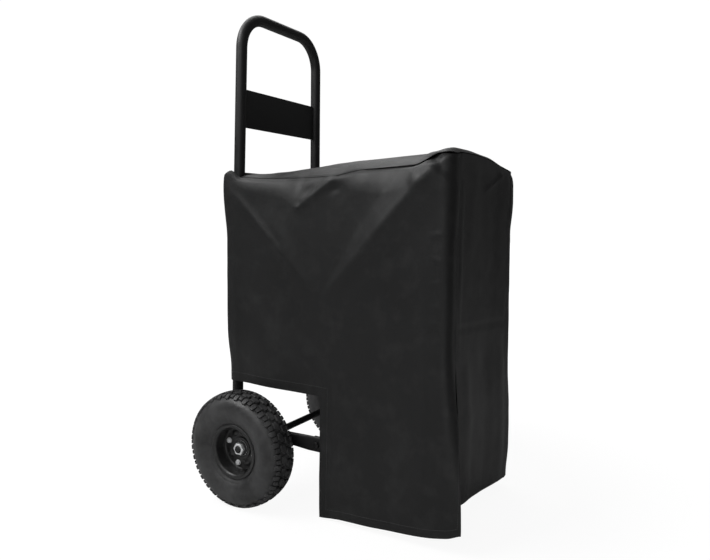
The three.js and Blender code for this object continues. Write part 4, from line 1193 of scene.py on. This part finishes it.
def lean(fold, y, z):
    """How far the cloth sinks beyond a fold, more with the distance from it."""
    span = math.hypot(fold["ny"], fold["nz"])
    inside = ((y - fold["y"]) * fold["ny"] + (z - fold["z"]) * fold["nz"]) / span
    return np.where(inside <= 0, 0.0, fold["depth"] * (1 - np.exp(-np.maximum(inside, 0) / fold["reach"])))


# Lower edge of the sloping shoulder under the left seam, as (y, z): it dips to the tip of a V-shaped pucker
SHOULDER_FOOT = [
    (-455, 742), (-430, 712), (-395, 694), (-330, 686), (-262, 692), (-238, 708), (-222, 720), (-126, 660),
    (-119, 652), (-110, 660), (-96, 675), (-70, 685), (-30, 692), (20, 700), (60, 722),
]
FOOT_SOFTENING = np.linspace(-12, 12, 5)
RIGHT_SHOULDER = 42.0  # height of the right side's plain shoulder
SHOULDER_SLOPE = {-1: 0.32, 1: 0.24}
SHOULDER_SOFT = 6.0


def shoulder(side, y, z):
    """How far the top of a side panel leans in towards its seam."""
    seam = seam_at(side, y)
    foot = along(SHOULDER_FOOT, y, FOOT_SOFTENING) if side < 0 else seam - RIGHT_SHOULDER
    tall = np.maximum(seam - foot, 3.0)
    rise = np.sqrt(np.maximum(z - foot, 0) ** 2 + SHOULDER_SOFT**2) - SHOULDER_SOFT
    roll = 0.4 + 0.75 * clamp01(rise / tall) ** 1.5
    return SHOULDER_SLOPE[side] * rise * roll * smooth(-462, -430, y) * smooth(72, 40, y)


SEAM_GROOVE = {"below": 2.5, "width": 3.2, "depth": 1.8}
CORNER_FALL = {"y": (-395, -465), "z": (560, 745), "depth": {-1: 10.0, 1: 5.0}}


def sag(side, y, z):
    """How far a side panel falls in from its plain surface."""
    tent = np.minimum(lean(FOLD_REAR, y, z), lean(FOLD_FRONT, y, z))
    fall = CORNER_FALL["depth"][side] * smooth(*CORNER_FALL["y"], y) * smooth(*CORNER_FALL["z"], z)
    return TENT_SHARE[side] * tent + shoulder(side, y, z) + fall


def seam_groove(side, y, z):
    """The stitching pulls the side panel in just under the seam."""
    off = (seam_at(side, y) - SEAM_GROOVE["below"] - z) / SEAM_GROOVE["width"]
    return SEAM_GROOVE["depth"] * np.exp(-(off**2)) * smooth(60, 30, y)


def side_x(side, y, z):
    """Distance of a side panel from the cart's middle plane."""
    pinch = PINCH["in"] * smooth(*PINCH["z"], z) * smooth(-60, 40, y)
    flare = FLARE[side] * smooth(300, 0, z) * smooth(-120, -200, y)
    belly = BELLY * smooth(700, 500, z) * smooth(40, -60, y)
    return SIDE_X - pinch + flare + belly - sag(side, y, z)


def back_y(z):
    """Y of the cover's back, which stands off the uprights and follows their lean."""
    low = mix(UPRIGHT_FOOT[1], UPRIGHT_TOP[1], (z - UPRIGHT_FOOT[2]) / (UPRIGHT_TOP[2] - UPRIGHT_FOOT[2]))
    high = mix(UPRIGHT_TOP[1], HOOP_TOP[1], (z - UPRIGHT_TOP[2]) / (HOOP_TOP[2] - UPRIGHT_TOP[2]))
    bulge = SHOULDER_BULGE["depth"] * smooth(*SHOULDER_BULGE["z"], z)
    pinch = PINCH["forward"] * smooth(*PINCH["z"], z)
    return np.where(z < UPRIGHT_TOP[2], low, high) + BACK_STANDOFF + bulge - pinch


def rear_round(z):
    return mix(*REAR_ROUND, smooth(*PINCH["z"], z))


def face_y(x, z):
    """Y of the cover's front, which swings forward at its foot and swells towards its right edge."""
    swing = FRONT_SWING["depth"] * smooth(*FRONT_SWING["z"], z)
    drawn_back = FRONT_SWING["drawn_back"] * smooth(110, 30, z)
    fullness = mix(FRONT_SWELL["waist"], FRONT_SWELL["top"], smooth(*FRONT_SWELL["z"], z))
    swell = fullness * smooth(0, 170, x) * smooth(765, 715, z) * smooth(250, 400, z)
    return FACE_Y - swing + drawn_back - swell


def half_width(side, y):
    """Half the top's width, which is rounded off over the front corners."""
    flat = side_x(side, np.maximum(y, FACE_Y + FRONT_ROUND), seam_at(side, y))
    into = np.maximum(FACE_Y + FRONT_ROUND - y, 0)
    return flat - FRONT_ROUND + np.sqrt(np.maximum(0, FRONT_ROUND**2 - into**2))


def top_height(x, y):
    """Z of the top: from its crest down to the seams, and rolled over at the front edge."""
    halves = []
    for side in (-1, 1):
        reach = np.minimum(1, np.abs(x) / half_width(side, np.maximum(y, FACE_Y + FRONT_ROUND)))
        halves.append(mix(along(CREST, y), seam_at(side, y), reach**4))
    crown = np.where(x < 0, *halves)
    over = clamp01((FRONT_ROLL["from"] - y) / (FRONT_ROLL["from"] - FACE_Y))
    return mix(crown, along(FRONT_EDGE, x), smooth(-385, -462, y)) - FRONT_ROLL["drop"] * over**2


class Fold:
    """A ridge (or groove, with a negative height) along a line on a panel, in the panel's own millimetres.

    flanks are its widths to the left and right of the line, looking from start to end; keen folds
    have a sharp crest, and the others a round one. It fades out over the given length at each end.
    """

    def __init__(self, start, end, height, flanks, fade=(20, 20), keen=False):
        self.start, self.end = np.array(start, float), np.array(end, float)
        self.height, self.flanks, self.fade, self.keen = height, flanks, fade, keen

    def at(self, u, v):
        run = self.end - self.start
        length = math.hypot(*run)
        run = run / length
        along_it = (u - self.start[0]) * run[0] + (v - self.start[1]) * run[1]
        beside = (v - self.start[1]) * run[0] - (u - self.start[0]) * run[1]
        width = np.where(beside > 0, self.flanks[0], self.flanks[1])
        shape = np.exp(-np.abs(beside) / width) if self.keen else np.exp(-((beside / width) ** 2))
        starting = smooth(-self.fade[0], self.fade[0], along_it)
        ending = smooth(-self.fade[1], self.fade[1], length - along_it)
        return self.height * shape * starting * ending


class Swell:
    """A soft bump or hollow of the given half widths round a point on a panel."""

    def __init__(self, centre, size, height, turn=0.0):
        self.centre, self.size, self.height, self.turn = centre, size, height, math.radians(turn)

    def at(self, u, v):
        du, dv = u - self.centre[0], v - self.centre[1]
        c, s = math.cos(self.turn), math.sin(self.turn)
        a, b = (du * c + dv * s) / self.size[0], (dv * c - du * s) / self.size[1]
        return self.height * np.exp(-(a**2 + b**2))


def crumple(u, v, seed, height, scale):
    """Slack unevenness of cloth: smooth noise of the given height and size in millimetres."""
    out = np.zeros(np.shape(u))
    flat_u, flat_v, flat = np.ravel(u), np.ravel(v), out.reshape(-1)
    for k in range(flat.size):
        flat[k] = noise.noise(Vector((flat_u[k] / scale, flat_v[k] / scale, seed * 7.3)))
    return out * height


# Folds of each panel: sides in (y, z), the top in (x, y), front and back in (x, z).
LEFT_FOLDS = [
    Fold((-119, 660), (-214, 721), 4.6, (5, 3.5), (4, 8), keen=True),
    Fold((-130, 676), (-206, 727), 3.0, (3.5, 4), (8, 8), keen=True),
    Swell((-150, 700), (20, 9), -2.4, -30),
    Swell((-216, 700), (12, 8), -2.6, -30),
    Fold((-446, 742), (-300, 588), 2.6, (16, 5), (6, 60), keen=True),
    Fold((-440, 736), (-290, 578), 8.5, (55, 44), (10, 70)),
    Fold((-300, 588), (-230, 500), 1.6, (26, 14), (50, 40)),
    Swell((-405, 715), (18, 16), 4.0, 40),
    Fold((40, 690), (-90, 560), 2.2, (12, 9), (30, 60)),
    Fold((-60, 640), (-150, 480), 2.2, (18, 18), (60, 60)),
    Fold((-335, 420), (-446, 430), 0.9, (3, 5), (20, 6)),
    Fold((-250, 408), (-452, 424), -0.7, (10, 8), (60, 8)),
    Fold((-425, 700), (-432, 120), 1.8, (14, 20), (50, 100)),
    Fold((-448, 640), (-450, 480), -1.6, (8, 8), (30, 30)),
    Fold((-456, 612), (-438, 607), 1.6, (4, 4), (5, 6)),
    Fold((-456, 560), (-440, 565), 1.5, (5, 4), (5, 6)),
    Fold((-456, 520), (-438, 517), 1.5, (4, 5), (5, 6)),
    Fold((-456, 476), (-440, 471), 1.6, (4, 4), (5, 6)),
    Fold((-456, 440), (-436, 445), 1.4, (5, 5), (5, 6)),
    Fold((-232, 330), (-240, 30), 2.4, (22, 26), (60, 60)),
    Fold((-330, 330), (-342, 30), -2.2, (30, 30), (80, 60)),
    Fold((-410, 300), (-420, 30), 2.0, (26, 22), (80, 60)),
    Fold((-196, 340), (-190, 30), 1.6, (12, 12), (40, 40)),
    Fold((20, 470), (-120, 300), -1.6, (30, 30), (60, 50)),
    Fold((52, 620), (50, 300), 1.2, (10, 14), (60, 40)),
]
RIGHT_FOLDS = [
    Fold((-440, 730), (-250, 520), 4.0, (26, 8), (10, 60), keen=True),
    Fold((40, 690), (-110, 540), 3.0, (14, 10), (30, 60)),
    Fold((-250, 403), (-452, 407), -1.0, (14, 10), (70, 8)),
    Fold((-260, 330), (-270, 30), 2.4, (24, 26), (60, 60)),
    Fold((-370, 330), (-380, 30), -2.0, (30, 30), (80, 60)),
    Swell((-150, 700), (60, 18), -3.0),
    Fold((52, 620), (50, 300), 1.2, (10, 14), (60, 40)),
]
FRONT_FOLDS = [
    Fold((-150, 428), (150, 407), -1.0, (12, 8), (10, 10)),
    Fold((-150, 437), (150, 416), 0.6, (7, 7), (20, 20)),
    Fold((92, 735), (2, 700), 5.0, (6, 3), (6, 14), keen=True),
    Fold((-128, 700), (-132, 420), 1.8, (10, 14), (40, 60)),
    Fold((-60, 760), (-75, 560), 1.4, (30, 30), (40, 80)),
    Fold((70, 760), (60, 500), -1.6, (30, 30), (40, 80)),
    Fold((-90, 360), (-98, 70), 2.4, (22, 26), (60, 50)),
    Fold((20, 350), (24, 50), -2.0, (36, 36), (60, 50)),
    Fold((110, 340), (112, 40), 2.0, (20, 24), (60, 50)),
]
BACK_FOLDS = [
    Fold((-120, 740), (60, 420), -2.0, (40, 40), (60, 80)),
    Fold((120, 740), (-60, 420), -1.6, (40, 40), (60, 80)),
    Fold((-140, 408), (140, 404), -1.1, (14, 10), (10, 10)),
    Fold((-40, 400), (-46, 270), 1.6, (26, 26), (40, 30)),
    Fold((70, 420), (74, 270), 1.6, (24, 24), (40, 30)),
]
TOP_FOLDS = [
    Fold((-30, -430), (10, 10), -2.6, (60, 60), (80, 60)),
    Fold((-150, -200), (-60, -420), 2.2, (26, 20), (40, 60)),
    Fold((120, -180), (60, -400), 1.8, (28, 22), (40, 60)),
    Fold((-160, -60), (-60, 20), 1.8, (20, 20), (40, 30)),
    Fold((150, -60), (70, 20), 1.6, (20, 20), (40, 30)),
    Fold((-176, -440), (-110, -400), 2.4, (10, 8), (10, 20)),
]


SLACK = [(1.7, 120.0), (0.55, 38.0)]  # height and size of the broad and the fine crumpling


def relief(folds, u, v, seed):
    total = sum(fold.at(u, v) for fold in folds)
    return total + sum(crumple(u, v, seed + k, *slack) for k, slack in enumerate(SLACK))


# ---- cover: sheets from lattices ----
def normals_of(lattice):
    """Unit normals of a lattice of points [row, column, xyz], by differences across each point."""
    padded = np.pad(lattice, ((1, 1), (1, 1), (0, 0)), mode="edge")
    across = padded[1:-1, 2:] - padded[1:-1, :-2]
    down = padded[2:, 1:-1] - padded[:-2, 1:-1]
    normal = np.cross(across, down)
    return normal / np.linalg.norm(normal, axis=2, keepdims=True)


COVER_MIDDLE = np.array((0.0, -200.0, 420.0))


def outward(lattice):
    """Normals that point away from the middle of the cover."""
    normal = normals_of(lattice)
    away = np.sum(normal * (lattice - COVER_MIDDLE), axis=2)
    return normal if np.median(away) > 0 else -normal


def edge_taper(rows, columns, reach=2):
    """1 inside a lattice and falling to a thin edge at its border, so that a cut edge looks rolled."""
    j, i = np.indices((rows, columns))
    near = np.minimum(np.minimum(j, rows - 1 - j), np.minimum(i, columns - 1 - i))
    return np.clip(0.35 + 0.65 * near / reach, 0, 1)


def cloth_run(lattice, axis):
    """Metres along the cloth from its first row or column to each of the others."""
    lengths = np.linalg.norm(np.diff(lattice, axis=axis), axis=2).mean(axis=1 - axis)
    return np.cumsum(np.pad(lengths, (1, 0))) * MM


def cloth_sheet(name, lattice, keep=None):
    """A closed sheet of cloth, with the lattice as its outer face and UVs in metres along the cloth."""
    rows, columns = lattice.shape[:2]
    normal = outward(lattice)
    inner = lattice - normal * CLOTH_T * edge_taper(rows, columns)[..., None]
    kept = np.ones((rows - 1, columns - 1), bool) if keep is None else keep
    index = np.arange(rows * columns).reshape(rows, columns)
    below = rows * columns
    faces = []
    for j, i in zip(*np.nonzero(kept)):
        a, b, c, d = index[j, i], index[j, i + 1], index[j + 1, i + 1], index[j + 1, i]
        faces += [(a, b, c, d), (d + below, c + below, b + below, a + below)]
        if j == 0 or not kept[j - 1, i]:
            faces.append((b, a, a + below, b + below))
        if i == columns - 2 or not kept[j, i + 1]:
            faces.append((c, b, b + below, c + below))
        if j == rows - 2 or not kept[j + 1, i]:
            faces.append((d, c, c + below, d + below))
        if i == 0 or not kept[j, i - 1]:
            faces.append((a, d, d + below, a + below))
    points = np.concatenate([lattice.reshape(-1, 3), inner.reshape(-1, 3)])
    used = np.unique(np.array([v for f in faces for v in f]))
    renumber = np.full(len(points), -1)
    renumber[used] = np.arange(len(used))
    shape = Shape(points[used], [tuple(int(renumber[v]) for v in f) for f in faces])
    obj = shown(name, shape, CLOTH, 60)
    flat = np.stack(np.meshgrid(cloth_run(lattice, 1), -cloth_run(lattice, 0)), axis=2).reshape(-1, 2)
    flat = np.concatenate([flat, flat])[used]
    layer = obj.data.uv_layers.new(name="cloth")
    corner = np.array([loop.vertex_index for loop in obj.data.loops])
    layer.data.foreach_set("uv", flat[corner].ravel())
    return obj


def raised(lattice, height):
    return lattice + outward(lattice) * height[..., None]


def sewn_panel(name, lattice, keep=None):
    obj = cloth_sheet(f"cover_cloth_{name}", lattice, keep)
    settle(obj, "cover", "cover_cloth", f"cover_{name}")


def cells(length):
    return max(2, math.ceil(length / CELL))


# The free flap's front edge, as (height, reach beyond the corner's bend)
FLAP_REACH = [(50, 15.5), (105, 9), (195, 3), (300, 3), (330, 7), (362, WRAP)]


class SideStations:
    """Columns round a side panel, from its wrap behind the upright to its wrap on the front."""

    def __init__(self):
        rear_flat = cells(UPRIGHT_TOP[1] + BACK_STANDOFF - REAR_ROUND[0] - FLAP_Y)
        front_flat = cells(FLAP_Y - FACE_Y - FRONT_ROUND)
        rear = [("wrap", 4), ("arc", 6), ("rear", rear_flat)]
        front = [("front", front_flat), ("corner", 9), ("tail", 4)]
        self.columns = [(kind, k / count) for kind, count in rear + front for k in range(count)]
        self.columns.append(("tail", 1.0))
        self.flap_start = sum(count for _, count in rear)

    def point(self, side, column, z):
        """Where a column crosses a height, as (distance from the middle plane, y)."""
        kind, t = self.columns[column]
        rear, bend = back_y(z), rear_round(z)
        pivot = rear - bend
        if kind in ("wrap", "arc"):
            x = side_x(side, pivot, z)
            if kind == "wrap":
                return mix(x - REAR_ROUND[0] - WRAP, x - bend, t), rear
            a = t * math.pi / 2
            return x - bend + bend * math.sin(a), pivot + bend * math.cos(a)
        corner_y = face_y(side * SIDE_X, z) + FRONT_ROUND
        if kind == "rear":
            y = mix(pivot, FLAP_Y, t)
            return side_x(side, y, z), y
        if kind == "front":
            y = mix(FLAP_Y, corner_y, t)
            return side_x(side, y, z), y
        opening = smooth(SLIT_Z, FLAP_OPEN_Z, z) if side < 0 else np.zeros(np.shape(z))
        bend = math.pi / 2 * (1 - FLAP_STRAIGHT * opening)
        radius = FRONT_ROUND * math.pi / 2 / bend
        a = bend * (t if kind == "corner" else 1.0)
        x = side_x(side, corner_y, z) - radius * (1 - np.cos(a))
        y = corner_y - radius * np.sin(a)
        if kind == "tail":
            reach = t * (along(FLAP_REACH, z) if side < 0 else WRAP)
            x, y = x - reach * np.sin(bend), y - reach * np.cos(bend)
        return x, y


STATIONS = SideStations()
SEAM_DROP = CLOTH_T + 0.3  # the other panels start this far below the top's face
ROW_SPREAD = 1.15  # the rows are closer together near the seam


def side_lattice(side):
    upper, lower = cells(SEAM_Z - REAR_HEM_Z), cells(REAR_HEM_Z - LOWEST_HEM)
    hem = LEFT_HEM if side < 0 else RIGHT_HEM
    columns = []
    for column in range(len(STATIONS.columns)):
        seam_x, seam_y = STATIONS.point(side, column, np.array(SEAM_Z))
        top = float(top_height(side * seam_x, seam_y)) - SEAM_DROP
        _, hem_y = STATIONS.point(side, column, np.array(HEM_Z))
        bottom = float(along(hem, hem_y))
        z = np.concatenate([
            top + (REAR_HEM_Z - top) * np.linspace(0, 1, upper + 1) ** ROW_SPREAD,
            np.linspace(REAR_HEM_Z, bottom, lower + 1)[1:],
        ])
        x, y = STATIONS.point(side, column, z)
        columns.append(np.stack([side * x, y + 0 * z, z], axis=1))
    return np.stack(columns, axis=1), upper


# Flat sizes of the panels in metres, as they lie cut out
FRONT_FLAT = (0.292, 0.74)
BACK_FLAT = (0.31, 0.49)
PANEL_INSET = 0.4  # how far the front and the back stop short of the side panels' edges, in millimetres


def border_fade(rows, columns, reach):
    """0 at the top and side edges of a lattice and 1 a few cells in; the hem is left free."""
    j, i = np.indices((rows, columns))
    near = np.minimum(j, np.minimum(i, columns - 1 - i))
    return smooth(0, reach, near)


def side_panel(name, side):
    lattice, upper = side_lattice(side)
    rows, columns = lattice.shape[:2]
    folds, seed = (LEFT_FOLDS, 3) if side < 0 else (RIGHT_FOLDS, 5)
    y, z = lattice[..., 1], lattice[..., 2]
    height = relief(folds, y, z, seed) * border_fade(rows, columns, 3)
    lattice = raised(lattice, height - seam_groove(side, y, z))
    keep = np.ones((rows - 1, columns - 1), bool)
    keep[upper:, : STATIONS.flap_start] = False
    sewn_panel(name, lattice, keep)
    return lattice, upper


def front_half(side, z):
    """Half width of the front panel, which ends just inside the side panel's tail."""
    x, _ = STATIONS.point(side, len(STATIONS.columns) - 1, np.maximum(z, SLIT_Z) if side < 0 else z)
    return x - PANEL_INSET


def back_half(side, z):
    x, _ = STATIONS.point(side, 0, z)
    return x - PANEL_INSET


def front_panel():
    columns, rows = cells(FRONT_FLAT[0] / MM), cells(SEAM_Z - HEM_Z)
    u = np.linspace(0, 1, columns + 1)
    seam_x = mix(-front_half(-1, np.array(SEAM_Z)), front_half(1, np.array(SEAM_Z)), u)
    top = top_height(seam_x, FACE_Y) - SEAM_DROP
    bottom = along(FRONT_HEM, seam_x)
    z = mix(top[None, :], bottom[None, :], np.linspace(0, 1, rows + 1)[:, None])
    x = mix(-front_half(-1, z), front_half(1, z), u[None, :])
    y = face_y(x, z) + 3 * np.sin(math.pi * u)[None, :] * smooth(SEAM_Z, 600, z)
    lattice = np.stack([x, y, z], axis=2)
    lattice = raised(lattice, relief(FRONT_FOLDS, x, z, 8) * border_fade(rows + 1, columns + 1, 4))
    sewn_panel("front", lattice)
    return lattice


def back_panel():
    columns, rows = cells(BACK_FLAT[0] / MM), cells(BACK_TOP_Z - REAR_HEM_Z)
    z = np.linspace(BACK_TOP_Z, REAR_HEM_Z, rows + 1)[:, None] * np.ones((1, columns + 1))
    x = mix(-back_half(-1, z), back_half(1, z), np.linspace(0, 1, columns + 1)[None, :])
    lattice = np.stack([x, back_y(z), z], axis=2)
    height = np.clip(relief(BACK_FOLDS, x, z, 11), -1.2, 4.0)  # so that it stays clear of the uprights
    lattice = raised(lattice, height * border_fade(rows + 1, columns + 1, 4))
    sewn_panel("back", lattice)
    return lattice


def top_panel():
    corner = FACE_Y + FRONT_ROUND
    flat = np.linspace(SLOT_Y, corner, cells(SLOT_Y - corner) + 1)
    bend = corner - FRONT_ROUND * np.sin(np.linspace(0, math.pi / 2 * 0.985, 12))[1:]
    y = np.concatenate([flat, bend])
    u = np.sin(np.linspace(-1, 1, 97) * math.pi / 2 * 0.998)
    grid_y = y[:, None] * np.ones((1, u.size))
    left, right = half_width(-1, grid_y), half_width(1, grid_y)
    x = u[None, :] * np.where(u[None, :] < 0, left, right)
    lip = FACE_Y - face_y(x, top_height(x, FACE_Y) - SEAM_DROP)  # the front edge follows the front panel
    forward = grid_y - lip * (np.maximum(corner - grid_y, 0) / FRONT_ROUND) ** 2
    lattice = np.stack([x, forward, top_height(x, grid_y)], axis=2)
    rows, columns = x.shape
    height = relief(TOP_FOLDS, x, grid_y, 14) * border_fade(rows, columns, 8)
    lattice = raised(lattice, height * smooth(0, 5, np.indices((rows, columns))[0][::-1]))
    sewn_panel("top", lattice)
    return lattice


# ---- cover: hems and stitching ----
STITCH = {"pitch": 4.6, "size": (0.9, 0.5, 3.4)}
HEM_DEPTH = 4  # lattice cells from the edge to the stitch line


def stitch_path(lattice, picks):
    """Points on the cloth's face with its normals, at a list of (row, column) places."""
    normal = outward(lattice)
    return [(Vector(lattice[j, i] + normal[j, i] * 0.1), Vector(normal[j, i])) for j, i in picks]


def row_of(j, start, end):
    return [(j, i) for i in range(start, end)]


def column_of(i, start, end):
    return [(j, i) for j in range(start, end)]


def side_stitches(lattice, upper):
    """Along the rear skirt's hem and the flap's, the panel's front and rear edges, and the seam."""
    rows, columns = lattice.shape[:2]
    skirt, flap, hem = upper - HEM_DEPTH, STATIONS.flap_start + HEM_DEPTH, rows - 1 - HEM_DEPTH
    return [
        row_of(skirt, 3, flap),
        column_of(flap, skirt, hem + 1),
        row_of(hem, flap, columns - 3),
        column_of(columns - 3, 2, hem + 1),
        column_of(2, 2, skirt),
        row_of(2, 3, columns - 3),
    ]


def face_stitches(lattice):
    """Along the hem and up both edges of the front or the back."""
    rows, columns = lattice.shape[:2]
    edges = [column_of(i, 1, rows - HEM_DEPTH) for i in (1, columns - 2)]
    return [row_of(rows - 1 - HEM_DEPTH, 1, columns - 1), *edges]


def top_stitches(lattice):
    rows, columns = lattice.shape[:2]
    return [column_of(4, 2, rows - 4), column_of(columns - 5, 2, rows - 4), row_of(4, 5, columns - 5)]


def stitching(left, right, front, back, top):
    paths = []
    for lattice, upper in (left, right):
        paths += [stitch_path(lattice, picks) for picks in side_stitches(lattice, upper)]
    for lattice in (front, back):
        paths += [stitch_path(lattice, picks) for picks in face_stitches(lattice)]
    paths += [stitch_path(top, picks) for picks in top_stitches(top)]
    obj = lumps("cover_stitches", paths, THREAD, STITCH["pitch"], STITCH["size"])
    settle(obj, "cover", "cover_cloth")


def build_cover():
    top = top_panel()
    left = side_panel("left", -1)
    right = side_panel("right", 1)
    front = front_panel()
    back = back_panel()
    stitching(left, right, front, back, top)


# ---- CAD nodes that stay as they are ----
def finish_inner_pieces():
    finishes = {"inner_tube": PLAIN_RUBBER, "bearing": ZINC}
    for name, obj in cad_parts.items():
        for key, finish in finishes.items():
            if key in name:
                obj.data.materials.clear()
                obj.data.materials.append(finish)


# ---- stage ----
def area_light(name, place, target, size, power):
    data = bpy.data.lights.new(name, "AREA")
    data.shape = "RECTANGLE"
    data.size, data.size_y = size
    data.energy = power
    obj = new_object(name, data)
    aim(obj, place, Vector(target) - Vector(place))
    obj.visible_camera = False


FLOOR_GLOW = {"strength": 1.16, "distance": (0.5, 2.2), "share": (0.8, 1.0)}  # near the cart and far from it
ROOM_LIGHT = 0.113  # strength of the room round the object
ROOM_SEEN = 1.02  # and how bright the camera sees it
LAMPS = [  # name, place, point it faces, size and watts
    ("key_softbox", (-1.7, -0.3, 1.5), (0, -0.3, 0.2), (1.0, 1.0), 6.5),
    ("low_softbox", (-1.0, -0.8, 0.1), (-0.2, -0.3, 0.2), (0.7, 0.4), 1.5),
    ("shoulder_softbox", (-1.5, 1.2, 2.4), (0, -0.2, 0.7), (1.4, 1.0), 42),
    ("overhead_softbox", (0.3, 1.0, 2.4), (0, 0, 0.6), (3.0, 1.6), 31),
]


def set_stage():
    bpy.ops.mesh.primitive_plane_add(size=30, location=(0, 0, -0.0005))
    floor = bpy.context.object
    floor.name = "floor"
    floor.data.materials.append(floor_finish())
    world = bpy.data.worlds.new("studio")
    world.use_nodes = True
    nodes, links = world.node_tree.nodes, world.node_tree.links
    background = nodes["Background"]
    background.inputs["Color"].default_value = (1.0, 1.0, 1.0, 1.0)
    strength = nodes.new("ShaderNodeMapRange")
    strength.inputs["To Min"].default_value = ROOM_LIGHT
    strength.inputs["To Max"].default_value = ROOM_SEEN
    links.new(nodes.new("ShaderNodeLightPath").outputs["Is Camera Ray"], strength.inputs["Value"])
    links.new(strength.outputs[0], background.inputs["Strength"])
    bpy.context.scene.world = world
    bpy.context.scene.view_settings.view_transform = "Standard"
    for lamp in LAMPS:
        area_light(*lamp)


set_camera()
build_frame()
build_axle()
for wheel_name, wheel_side in SIDES:
    build_wheel(wheel_name, wheel_side)
build_cover()
finish_inner_pieces()
set_stage()
